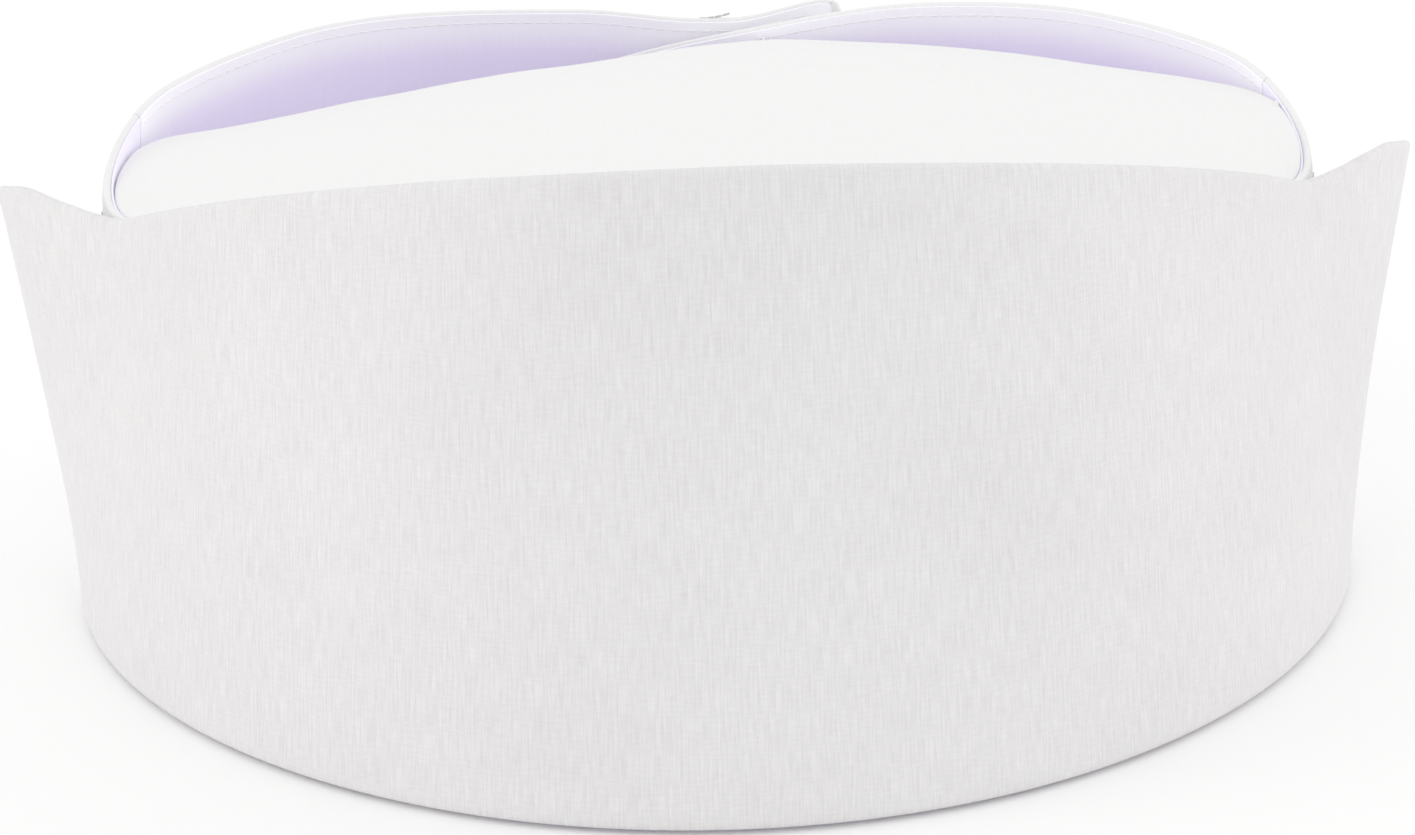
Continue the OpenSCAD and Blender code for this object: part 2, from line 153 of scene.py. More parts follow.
@dataclass(frozen=True)
class CapForm:
    """The surfaces that every ply of the cap follows."""

    half_width: float
    front_height: float
    front_depth: float = 90.0
    rear_depth: float = 88.0
    side_taper: float = 0.095
    front_taper: float = 0.10
    front_point: float = 1.135
    side_height: float = 58.5
    wing_start: float = 66.0
    wing_spread: float = 13.5
    wing_sweep: float = 8.0
    wing_lift: float = 8.5
    wing_dip: float = 1.3
    wing_dip_from: float = 80.0
    wing_dip_to: float = 86.0
    wing_curl: float = 1.2
    wing_corner: float = 5.0
    band_drop: float = 3.5
    band_side_height: float = 68.5
    rim_height: float = 76.0
    rim_climb_from: float = 74.0
    rim_climb_to: float = 113.0
    rim_dip: float = 5.5
    rim_dip_from: float = 134.0
    nape_rise: float = 30.0
    nape_top: float = 185.0
    hem_clearance: float = 0.3
    seam_angle: float = 103.0
    outer_end: float = 195.0
    inner_end: float = 200.0
    tail_corner: float = 2.5
    inner_curl: float = 5.0
    inner_curl_from: float = 178.0
    inner_fall: float = 9.0
    inner_fall_from: float = 155.0
    inner_fall_to: float = 205.0
    outer_sag: float = 2.0
    outer_sag_from: float = 168.0
    outer_sag_to: float = 182.0
    outer_spring: float = 4.5
    outer_spring_from: float = 184.0
    outer_lift: float = 2.5
    tail_offset: float = 4.55
    spiral_lag: float = 6.0
    spiral_to: float = 160.0
    wall_depth: float = 2.1
    stack: float = 1.6

    @property
    def wall_inside(self) -> float:
        """Depth of the band's inner face."""
        return self.wall_depth + self.stack

    def ring_xy(self, t: np.ndarray, z: np.ndarray) -> np.ndarray:
        """The plan curve of the opening at height z, as points [x, y].

        Args:
            t: angles.
            z: heights.

        Returns:
            Points [x, y].
        """
        c = np.cos(np.radians(t))
        depth = np.where(c >= 0, self.front_depth, self.rear_depth)
        power = np.where(c >= 0, self.front_point, 1.0)
        x = (self.half_width - self.side_taper * z) * np.sin(np.radians(t))
        y = -(depth - self.front_taper * z) * np.sign(c) * np.abs(c) ** power
        return np.stack([x, y], -1)

    def wing(self, t: np.ndarray) -> np.ndarray:
        """How far, from 0 to 1, the cuff has left the band at an angle."""
        return eased(t, self.wing_start, 90.0)

    def cuff_xy(self, t: np.ndarray, z: np.ndarray, hold: np.ndarray | float = 0.0) -> np.ndarray:
        """The plan curve of the cuff at height z.

        Args:
            t: angles.
            z: heights.
            hold: 1 where the cloth keeps to the band in place of the wing.

        Returns:
            Points [x, y].
        """
        flare = self.wing(t) * (np.maximum(z, 0.0) / self.side_height) ** self.wing_curl
        flare = flare * (1.0 - hold)
        step = np.stack([np.sign(t) * self.wing_spread * flare, self.wing_sweep * flare], -1)
        return self.ring_xy(t, z) + step

    @staticmethod
    def _inward(curve: Callable, t: np.ndarray, z: np.ndarray, d: np.ndarray) -> np.ndarray:
        """Moves the points of a plan curve inward.

        Args:
            curve: gives the plan curve's points at angles and heights.
            t: angles.
            z: heights.
            d: depths inward.

        Returns:
            Points [x, y, z].
        """
        run = curve(t + 0.5, z) - curve(t - 0.5, z)
        run = run / np.linalg.norm(run, axis=-1, keepdims=True)
        normal = np.stack([run[..., 1], -run[..., 0]], -1)
        flat = curve(t, z) - np.asarray(d)[..., None] * normal
        return np.concatenate([flat, np.broadcast_to(z, flat.shape[:-1])[..., None]], -1)

    def on_ring(self, t: np.ndarray, z: np.ndarray, d: np.ndarray) -> np.ndarray:
        """Points of the band at an angle, height and depth."""
        return self._inward(self.ring_xy, t, z, d)

    def on_cuff(self, t: np.ndarray, z: np.ndarray, d: np.ndarray,
                hold: np.ndarray | float = 0.0) -> np.ndarray:
        """Points of the cuff at an angle, height and depth."""
        return self._inward(lambda a, b: self.cuff_xy(a, b, hold), t, z, d)

    def arc_to(self, t: np.ndarray, end: float) -> np.ndarray:
        """Distance along the band from an angle to an end angle."""
        return arc(np.abs(end - np.abs(t)), self.half_width)

    def cuff_top(self, t: np.ndarray) -> np.ndarray:
        """Height of the cuff's top edge.

        Args:
            t: angles.

        Returns:
            The heights.
        """
        rise = (self.front_height - self.side_height) * np.cos(np.radians(t))
        dip = self.wing_dip * eased(t, self.wing_dip_from, self.wing_dip_to)
        return (self.side_height + rise + self.wing_lift * self.wing(t) - dip
                - corner_cut(self.arc_to(t, 90.0), self.wing_corner))

    def band_top(self, t: np.ndarray) -> np.ndarray:
        """Height of the band's rim.

        Args:
            t: angles.

        Returns:
            The heights.
        """
        c = np.maximum(0.0, np.cos(np.radians(t)))
        front = self.front_height - self.band_drop
        climb = eased(t, self.rim_climb_from, self.rim_climb_to)
        return (self.band_side_height + (front - self.band_side_height) * c * c
                + (self.rim_height - self.band_side_height) * climb)

    def tail_rim(self, t: np.ndarray) -> np.ndarray:
        """Height of the tails' rim, which dips towards the rear crossing."""
        return self.band_top(t) - self.rim_dip * eased(t, self.rim_dip_from, 180.0)

    def curl(self, t: np.ndarray) -> np.ndarray:
        """How far, from 0 to 1, the end of the inner tail has curled inward."""
        return eased(t, self.inner_curl_from, self.inner_end)

    def spring(self, t: np.ndarray) -> np.ndarray:
        """How far, from 0 to 1, the end of the outer tail has sprung outward."""
        return eased(t, self.outer_spring_from, self.outer_end)

    def tail_low(self, t: np.ndarray, end: float) -> np.ndarray:
        """Height of the bottom edge of a tail with its end at an angle."""
        rise = self.nape_rise * eased(t, self.seam_angle, self.nape_top)
        return rise + self.end_cut(t, end) + self.hem_clearance

    def end_cut(self, t: np.ndarray, end: float) -> np.ndarray:
        """What the round corner at a tail's end takes off its edges."""
        return corner_cut(self.arc_to(t, end), self.tail_corner)

    def inner_rim(self, t: np.ndarray) -> np.ndarray:
        """Height of the inner tail's rim, which falls towards its end."""
        fall = self.inner_fall * eased(t, self.inner_fall_from, self.inner_fall_to)
        return self.tail_rim(t) - fall - self.end_cut(t, self.inner_end)

    def outer_rim(self, t: np.ndarray) -> np.ndarray:
        """Height of the outer tail's rim, which sags at the crossing and lifts at its end.

        Args:
            t: angles.

        Returns:
            The heights.
        """
        sag = self.outer_sag * eased(t, self.outer_sag_from, self.outer_sag_to)
        lift = self.outer_lift * self.spring(t)
        return self.tail_rim(t) - sag + lift - self.end_cut(t, self.outer_end)

    def inner_depth(self, t: np.ndarray) -> np.ndarray:
        """Depth of the inner tail's outer face."""
        return self.wall_depth + self.inner_curl * self.curl(t)

    def outer_depth(self, t: np.ndarray) -> np.ndarray:
        """Depth of the outer tail's outer face, which spirals outside the inner tail."""
        spiral = self.tail_offset * eased(t, self.seam_angle + self.spiral_lag, self.spiral_to)
        return self.wall_depth - spiral - self.outer_spring * self.spring(t)


def ripple(t: np.ndarray, z: np.ndarray, seed: int) -> np.ndarray:
    """The slow unevenness of pressed, starched cloth.

    Args:
        t: angles round the cap.
        z: heights.
        seed: which sheet it is; plies of one stack share a seed and so stay parallel.

    Returns:
        Depths in millimetres, within about a quarter of a millimetre.
    """
    rng = np.random.default_rng(seed)
    total = np.zeros(np.broadcast(t, z).shape)
    for length, size in RIPPLES:
        turn, phase, lean = rng.uniform(0, 2 * math.pi, 3)
        along = t * MM_PER_DEGREE / length
        up = z / length
        total = total + size * np.sin(2 * math.pi * (along + RIPPLE_LEAN * math.sin(lean) * up)
                                      + phase) \
            * np.cos(2 * math.pi * RIPPLE_CROSS * up + turn)
    return total


# ---------------------------------------------------------------- cloth sheets


@dataclass(frozen=True)
class Hem:
    """A folded edge: the cloth turns through half a circle and runs back behind itself.

    Attributes:
        radius: radius of the fold's outer face.
        turn: width of the cloth that is turned in.
        lift: how much further behind the turned cloth lies than the fold.
    """

    radius: float = 0.8
    turn: float = 6.0
    lift: float = 0.0

    def stations(self) -> list[tuple[float, float, bool]]:
        """Works out the stations, from the face round to the raw edge.

        Returns:
            The inset from the edge, the depth and whether it is turned in, for each station.
        """
        fold = [(self.radius * (1 - math.sin(a)), self.radius * (1 - math.cos(a)), False)
                for a in np.linspace(0.0, math.pi, 9)]
        back = [(self.radius + self.turn * share, 2 * self.radius + self.lift, True)
                for share in (0.12, 0.4, 0.7, 1.0)]
        return fold + back


@dataclass(frozen=True)
class RawEdge:
    """An edge that is cut and left, inset from the outline."""

    inset: float = 0.0

    def stations(self) -> list[tuple[float, float, bool]]:
        """Returns the one station of a raw edge."""
        return [(self.inset, 0.0, False)]


@dataclass(frozen=True)
class SewnEdge:
    """An edge folded down at a right angle and sewn behind: depth is the fall below the top."""

    flange: float = 5.0
    radius: float = 0.8

    def stations(self) -> list[tuple[float, float, bool]]:
        """Works out the stations, from the top round to the raw edge.

        Returns:
            The inset from the edge, the fall and whether it is turned down, for each station.
        """
        fold = [(self.radius * (1 - math.sin(a)), self.radius * (1 - math.cos(a)), False)
                for a in np.linspace(0.0, math.pi / 2, 7)]
        down = [(0.0, mix(self.radius, self.flange, share), True) for share in (0.3, 0.65, 1.0)]
        return fold + down


Edge = Hem | RawEdge | SewnEdge


@dataclass(frozen=True)
class Axis:
    """Stations along one direction of a sheet, from its low edge to its high edge."""

    weight: np.ndarray
    offset: np.ndarray
    depth: np.ndarray
    turned: np.ndarray

    @staticmethod
    def build(low: Edge, high: Edge, count: int) -> "Axis":
        """Builds the stations.

        Args:
            low: the low edge.
            high: the high edge.
            count: how many even spaces lie between the two edges.

        Returns:
            The axis.
        """
        first, last = low.stations(), high.stations()
        rows = [(0.0, inset, depth, turned) for inset, depth, turned in reversed(first)]
        for share in np.linspace(0.0, 1.0, count + 1)[1:-1]:
            rows.append((share, (1 - share) * first[0][0] - share * last[0][0], 0.0, False))
        rows += [(1.0, -inset, depth, turned) for inset, depth, turned in last]
        table = np.array(rows, float)
        return Axis(table[:, 0], table[:, 1], table[:, 2], table[:, 3] > 0.5)


def select_none() -> None:
    """Leaves object mode with nothing selected."""
    if bpy.context.object is not None and bpy.context.object.mode != "OBJECT":
        bpy.ops.object.mode_set(mode="OBJECT")
    bpy.ops.object.select_all(action="DESELECT")


def make_active(piece: bpy.types.Object) -> None:
    """Selects one object alone and makes it active.

    Args:
        piece: the object.
    """
    select_none()
    piece.select_set(True)
    bpy.context.view_layer.objects.active = piece


def apply_modifier(piece: bpy.types.Object, kind: str, **settings: object) -> None:
    """Adds a modifier with its settings and applies it.

    Args:
        piece: the object.
        kind: the modifier's type.
        **settings: its properties.
    """
    make_active(piece)
    modifier = piece.modifiers.new(kind.lower(), kind)
    for name, value in settings.items():
        setattr(modifier, name, value)
    bpy.ops.object.modifier_apply(modifier=modifier.name)


def new_grid(name: str, across: int, up: int) -> tuple[bpy.types.Object, np.ndarray, np.ndarray]:
    """Adds a flat grid and tells which column and row each vertex is in.

    Args:
        name: the object's name.
        across: number of columns of vertices.
        up: number of rows of vertices.

    Returns:
        The object, and the column and the row of each vertex.
    """
    select_none()
    bpy.ops.mesh.primitive_grid_add(x_subdivisions=across - 1, y_subdivisions=up - 1, size=1.0,
                                    calc_uvs=True)
    piece = bpy.context.object
    piece.name = piece.data.name = name
    co = np.empty(len(piece.data.vertices) * 3)
    piece.data.vertices.foreach_get("co", co)
    co = co.reshape(-1, 3)
    column = np.rint((co[:, 0] + 0.5) * (across - 1)).astype(int)
    row = np.rint((co[:, 1] + 0.5) * (up - 1)).astype(int)
    return piece, column, row


def write_points(piece: bpy.types.Object, points: np.ndarray) -> None:
    """Moves the vertices of a mesh to points in millimetres."""
    piece.data.vertices.foreach_set("co", (points * MM).astype(np.float32).ravel())
    piece.data.update()


def write_uv(piece: bpy.types.Object, u: np.ndarray, v: np.ndarray) -> None:
    """Writes the UV map in metres of cloth.

    Args:
        piece: the object.
        u: distance along the cloth at each vertex, in millimetres.
        v: distance up the cloth at each vertex, in millimetres.
    """
    loops = np.empty(len(piece.data.loops), int)
    piece.data.loops.foreach_get("vertex_index", loops)
    uv = np.stack([u[loops], v[loops]], -1) * MM
    layer = piece.data.uv_layers.active or piece.data.uv_layers.new(name="UVMap")
    layer.data.foreach_set("uv", uv.astype(np.float32).ravel())


def write_share(piece: bpy.types.Object, name: str, share: np.ndarray) -> None:
    """Writes a number at each vertex as an attribute that a material can read."""
    layer = piece.data.attributes.new(name, "FLOAT", "POINT")
    layer.data.foreach_set("value", share.astype(np.float32))


def drop_faces(piece: bpy.types.Object, drop: np.ndarray) -> None:
    """Deletes the faces all of whose vertices are marked, and what is left loose.

    Args:
        piece: the object.
        drop: whether each vertex is marked.
    """
    make_active(piece)
    bpy.ops.object.mode_set(mode="EDIT")
    mesh = bmesh.from_edit_mesh(piece.data)
    mesh.verts.ensure_lookup_table()
    for face in mesh.faces:
        face.select_set(all(drop[v.index] for v in face.verts))
    bmesh.update_edit_mesh(piece.data)
    bpy.ops.mesh.delete(type="FACE")
    bpy.ops.object.mode_set(mode="OBJECT")


def turn_over(piece: bpy.types.Object) -> None:
    """Turns all faces of a mesh over.

    Args:
        piece: the object.
    """
    make_active(piece)
    bpy.ops.object.mode_set(mode="EDIT")
    bpy.ops.mesh.select_all(action="SELECT")
    bpy.ops.mesh.flip_normals()
    bpy.ops.object.mode_set(mode="OBJECT")


Rule = Callable[[Axis, Axis, np.ndarray, np.ndarray], np.ndarray]


@dataclass
class Sheet:
    """A ply of cloth with its two pairs of edges.

    Attributes:
        name: the piece's name.
        columns: stations along the cloth.
        rows: stations up the cloth.
        place: gives the points, from the two axes and the column and row of each vertex.
        thickness: thickness of the cloth.
        flip: whether the grid's own face looks inward.
        shade: gives the share of tint, which is painted shade, for cloth whose painted shade changes over
            the sheet.
    """

    name: str
    columns: Axis
    rows: Axis
    place: Rule
    thickness: float = 0.38
    flip: bool = False
    shade: Rule | None = None

    def build(self) -> bpy.types.Object:
        """Builds the sheet as a closed thin mesh.

        Returns:
            The object.
        """
        across, up = len(self.columns.weight), len(self.rows.weight)
        piece, column, row = new_grid(self.name, across, up)
        grid_c, grid_r = np.meshgrid(np.arange(across), np.arange(up), indexing="ij")
        points = self.place(self.columns, self.rows, grid_c, grid_r)
        write_points(piece, points[column, row])
        along = np.linalg.norm(np.diff(points, axis=0), axis=-1)
        middle = along[:, up // 2]
        u = np.concatenate([[0.0], np.cumsum(middle)])
        u = u - u[across // 2]
        rise = np.linalg.norm(np.diff(points, axis=1), axis=-1)
        v = np.concatenate([np.zeros((across, 1)), np.cumsum(rise, axis=1)], axis=1)
        write_uv(piece, u[column], v[column, row])
        # The tint share is painted shade, which the material multiplies into its colour
        if self.shade is not None:
            tint = self.shade(self.columns, self.rows, grid_c, grid_r)
            write_share(piece, "tint", tint[column, row])
        # The cloth turned in at an end stops where the cloth folds over along the other edge
        both = self.columns.turned[column] & (self.rows.depth[row] > 0.0)
        if both.any():
            drop_faces(piece, both)
        if self.flip:
            turn_over(piece)
        apply_modifier(piece, "SOLIDIFY", thickness=self.thickness * MM, offset=-1.0,
                       use_even_offset=False, use_quality_normals=True)
        bpy.ops.object.shade_smooth_by_angle(angle=SHARP_ANGLE)
        return piece


# ---------------------------------------------------------------- finishes


def linear(hex_colour: str) -> tuple[float, float, float, float]:
    """Turns an sRGB hex colour to linear.

    Args:
        hex_colour: six hex digits after a hash.

    Returns:
        Red, green, blue and alpha.
    """
    parts = [int(hex_colour[i:i + 2], 16) / 255.0 for i in (1, 3, 5)]
    return tuple(c / 12.92 if c <= 0.04045 else ((c + 0.055) / 1.055) ** 2.4 for c in parts) + (1.0,)


def add_node(tree: bpy.types.NodeTree, kind: str, inputs: dict | None = None,
             **settings: object) -> bpy.types.Node:
    """Adds a shader node with its settings and links.

    Args:
        tree: the node tree.
        kind: the node's type name.
        inputs: values or output sockets by input name or number.
        **settings: the node's properties.

    Returns:
        The node.
    """
    node = tree.nodes.new(kind)
    for name, value in settings.items():
        setattr(node, name, value)
    for key, value in (inputs or {}).items():
        if isinstance(value, bpy.types.NodeSocket):
            tree.links.new(value, node.inputs[key])
        else:
            node.inputs[key].default_value = value
    return node


def start_material(name: str) -> tuple[bpy.types.Material, bpy.types.NodeTree, bpy.types.Node]:
    """Adds an empty material.

    Args:
        name: the material's name.

    Returns:
        The material, its node tree and the node that gives its coordinates.
    """
    material = bpy.data.materials.new(name)
    material.use_nodes = True
    tree = material.node_tree
    tree.nodes.clear()
    return material, tree, add_node(tree, "ShaderNodeTexCoord")


@dataclass(frozen=True)
class PlainWeave:
    """Starched plain-weave cloth of polyester and cotton.

    The warp stands as fine upright ribs, some threads thicker than others, and starch leaves the
    surface matte with only a faint sheen at grazing angles.
    """

    name: str
    light: str
    dark: str
    warp_mm: float = 0.5
    weft_mm: float = 0.5
    roughness: float = 0.82
    rib: float = 0.35
    streak: float = 1.0
    sheen: float = 0.12
    patch: float = 0.4
    # Painted shade: the colour that the sheet's tint share multiplies in
    tint: str = "#FFFFFF"
    # Painted light: the strength and colour of a faint emission
    painted_glow: float = 0.0
    painted_glow_colour: str = "#F0EAFB"

    def build(self) -> bpy.types.Material:
        """Builds the material. The threads are drawn slightly coarser than the real 0.3 mm ones,
        because those are too fine to show.

        Returns:
            The material.
        """
        material, tree, place = start_material(self.name)
        # Warp: upright threads about as wide as the rib, each seen for a length and then lost
        warp_map = add_node(tree, "ShaderNodeMapping", {
            "Vector": place.outputs["UV"],
            "Scale": (1000.0 / self.warp_mm, 1000.0 / (16.0 * self.warp_mm), 1.0)})
        warp = add_node(tree, "ShaderNodeTexNoise", {
            "Vector": warp_map.outputs["Vector"], "Scale": 1.0, "Detail": 1.0, "Roughness": 0.5})
        # Slubs: the few thicker threads, some centimetres long
        slub_map = add_node(tree, "ShaderNodeMapping", {
            "Vector": place.outputs["UV"],
            "Scale": (1000.0 / (2.6 * self.warp_mm), 1000.0 / 34.0, 1.0)})
        slub = add_node(tree, "ShaderNodeTexNoise", {
            "Vector": slub_map.outputs["Vector"], "Scale": 1.0, "Detail": 2.0, "Roughness": 0.6})
        weft_map = add_node(tree, "ShaderNodeMapping", {
            "Vector": place.outputs["UV"],
            "Scale": (1000.0 / (5.0 * self.weft_mm), 1000.0 / self.weft_mm, 1.0)})
        weft = add_node(tree, "ShaderNodeTexNoise", {
            "Vector": weft_map.outputs["Vector"], "Scale": 1.0, "Detail": 1.0, "Roughness": 0.5})
        cross = add_node(tree, "ShaderNodeMath", {0: weft.outputs["Fac"], 1: 0.45},
                         operation="MULTIPLY")
        ribs = add_node(tree, "ShaderNodeMath", {
            0: warp.outputs["Fac"], 1: cross.outputs["Value"]}, operation="ADD")
        uneven = add_node(tree, "ShaderNodeMath", {
            0: slub.outputs["Fac"], 1: self.streak}, operation="MULTIPLY")
        height = add_node(tree, "ShaderNodeMath", {
            0: ribs.outputs["Value"], 1: uneven.outputs["Value"]}, operation="ADD")
        patch = add_node(tree, "ShaderNodeTexNoise", {
            "Vector": place.outputs["Object"], "Scale": 28.0, "Detail": 2.0, "Roughness": 0.5})
        spread = add_node(tree, "ShaderNodeMath", {
            0: patch.outputs["Fac"], 1: self.patch, 2: height.outputs["Value"]},
            operation="MULTIPLY_ADD")
        middle = 0.5 * (1.45 + self.streak + self.patch)
        shade = add_node(tree, "ShaderNodeMapRange", {
            "Value": spread.outputs["Value"], "From Min": middle - 0.45, "From Max": middle + 0.45})
        weave = add_node(tree, "ShaderNodeMix", {
            "Factor": shade.outputs["Result"], 6: linear(self.dark), 7: linear(self.light)},
            data_type="RGBA")
        # Painted shade: the tint, multiplied in by the share that the sheet writes
        share = add_node(tree, "ShaderNodeAttribute", attribute_name="tint")
        tint = add_node(tree, "ShaderNodeMix", {
            "Factor": share.outputs["Fac"], 6: weave.outputs[2], 7: linear(self.tint)},
            data_type="RGBA", blend_type="MULTIPLY")
        bump = add_node(tree, "ShaderNodeBump", {
            "Height": height.outputs["Value"], "Strength": self.rib, "Distance": 0.00012})
        surface = add_node(tree, "ShaderNodeBsdfPrincipled", {
            "Base Color": tint.outputs[2], "Roughness": self.roughness,
            "Sheen Weight": self.sheen, "Sheen Roughness": 0.5, "Specular IOR Level": 0.25,
            "IOR": 1.5, "Normal": bump.outputs["Normal"],
            # Painted light: a faint violet emission that brightens the cloth where it lies in shade
            "Emission Color": linear(self.painted_glow_colour), "Emission Strength": self.painted_glow})
        add_node(tree, "ShaderNodeOutputMaterial", {"Surface": surface.outputs["BSDF"]})
        return material


@dataclass(frozen=True)
class SpunThread:
    """Spun polyester sewing thread: two plies twisted together, with a satin gleam."""

    name: str = "spun_polyester_thread"
    colour: str = "#F4F4F6"
    twist_mm: float = 0.5

    def build(self) -> bpy.types.Material:
        """Builds the material, with the twist as slanting ridges.

        Returns:
            The material.
        """
        material, tree, place = start_material(self.name)
        turn = add_node(tree, "ShaderNodeMapping", {
            "Vector": place.outputs["Object"], "Rotation": (0.6, 0.5, 0.7),
            "Scale": (1000.0 / self.twist_mm,) * 3})
        ply = add_node(tree, "ShaderNodeTexWave", {
            "Vector": turn.outputs["Vector"], "Scale": math.pi / 10.0, "Distortion": 0.4},
            wave_type="BANDS", bands_direction="X")
        bump = add_node(tree, "ShaderNodeBump", {
            "Height": ply.outputs["Fac"], "Strength": 0.4, "Distance": 0.00006})
        surface = add_node(tree, "ShaderNodeBsdfPrincipled", {
            "Base Color": linear(self.colour), "Roughness": 0.45, "Sheen Weight": 0.2,
            "Specular IOR Level": 0.4, "IOR": 1.53, "Normal": bump.outputs["Normal"]})
        add_node(tree, "ShaderNodeOutputMaterial", {"Surface": surface.outputs["BSDF"]})
        return material


@dataclass(frozen=True)
class PileTape:
    """Woven nylon tape with a pile of hooks or loops: a speckled, slightly glossy surface."""

    name: str
    light: str
    dark: str
    pitch_mm: float
    roughness: float
    depth: float

    def build(self) -> bpy.types.Material:
        """Builds the material, with one cell of the pattern to each hook or tuft.

        Returns:
            The material.
        """
        material, tree, place = start_material(self.name)
        cells = add_node(tree, "ShaderNodeTexVoronoi", {
            "Vector": place.outputs["Object"], "Scale": 1000.0 / self.pitch_mm,
            "Randomness": 0.6})
        tint = add_node(tree, "ShaderNodeMix", {
            "Factor": cells.outputs["Distance"], 6: linear(self.light), 7: linear(self.dark)},
            data_type="RGBA")
        bump = add_node(tree, "ShaderNodeBump", {
            "Height": cells.outputs["Distance"], "Strength": self.depth, "Distance": 0.0003},
            invert=True)
        surface = add_node(tree, "ShaderNodeBsdfPrincipled", {
            "Base Color": tint.outputs[2], "Roughness": self.roughness, "Sheen Weight": 0.15,
            "IOR": 1.53, "Normal": bump.outputs["Normal"]})
        add_node(tree, "ShaderNodeOutputMaterial", {"Surface": surface.outputs["BSDF"]})
        return material


class Finishes:
    """The finish of each material slot, built once."""

    def __init__(self) -> None:
        """Builds every material."""
        self.by_slot: dict[Slot, bpy.types.Material] = {
            # Outer face of the cuff: the ribs and slubs show most here
            Slot.CUFF: PlainWeave("starched_poplin_cuff", "#F0EFEF", "#DBD9DA", warp_mm=0.32,
                                  weft_mm=0.4, streak=0.15).build(),
            # The crown is pressed harder, so its ribs are flatter
            Slot.CROWN: PlainWeave("pressed_poplin_crown", "#F3F3F3", "#F0F0F0", rib=0.08,
                                   streak=0.2).build(),
            Slot.BAND: PlainWeave("starched_poplin_band", "#F4F4F4", "#EDEDEE", rib=0.15,
                                  streak=0.2).build(),
            # The inside faces get painted shade, a lavender tint by the share that each sheet writes, and
            # painted light, a faint violet emission
            Slot.LINING: PlainWeave("poplin_lining_painted_shade_and_glow", "#FBFAFD", "#F6F5FA", rib=0.12,
                                    streak=0.2, tint="#EFE8FD", painted_glow=0.125).build(),
            # Buckram is an open, coarse weave
            Slot.STIFF: PlainWeave("stiffened_buckram", "#ECEBE6", "#C9C7C0", warp_mm=1.1,
                                   weft_mm=1.1, rib=0.6, roughness=0.7).build(),
            Slot.HOOK: PileTape("nylon_hook_tape", "#F2F2F2", "#C8C8CC", 0.9, 0.4, 0.8).build(),
            Slot.LOOP: PileTape("nylon_loop_tape", "#F0F0F2", "#D8D8DE", 0.7, 0.7, 0.6).build(),
            Slot.THREAD: SpunThread().build(),
        }

    def dress(self, piece: bpy.types.Object, slot: Slot) -> None:
        """Gives a piece its material and its slot.

        Args:
            piece: the object.
            slot: its material slot.
        """
        piece.data.materials.clear()
        piece.data.materials.append(self.by_slot[slot])


# ---------------------------------------------------------------- pieces


@dataclass
class Cloth:
    """What a sheet of cloth says about itself: its cut and how it is held."""

    flat_m: tuple[float, float]
    area_m2: float
    rests_on: list[str]
    held: str = "stretched"


@dataclass
class Workshop:
    """Keeps what every sub-assembly needs: the form, the finishes and the fold of the outer tail."""

    form: CapForm
    finishes: Finishes
    fold_start: Vector = field(default_factory=lambda: Vector((-0.0974, 0.0195, 0.03)))
    fold_end: Vector = field(default_factory=lambda: Vector((-0.0900, 0.0440, 0.03)))
    pieces: list[str] = field(default_factory=list)

    def finish_piece(self, piece: bpy.types.Object, slot: Slot, nodes: list[str], body: str,
                     cloth: Cloth | None = None) -> bpy.types.Object:
        """Dresses a piece, binds it to its body unless it is the outer tail's cloth, and reports it.

        Args:
            piece: the object.
            slot: its material slot.
            nodes: the CAD nodes that it stands for.
            body: the body that it moves with, or "fold" for the cloth of the outer tail, which only has its
                transform baked in and is bound to no body.
            cloth: its cut, if it is a sheet; not used.

        Returns:
            The piece.
        """
        self.finishes.dress(piece, slot)
        if body == "fold":
            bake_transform(piece)
        else:
            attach(piece, body)
        if nodes:
            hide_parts(*nodes)
        self.pieces.append(piece.name)
        log.info("%s: %d faces, on %s, for %s", piece.name, len(piece.data.polygons), body, nodes)
        return piece


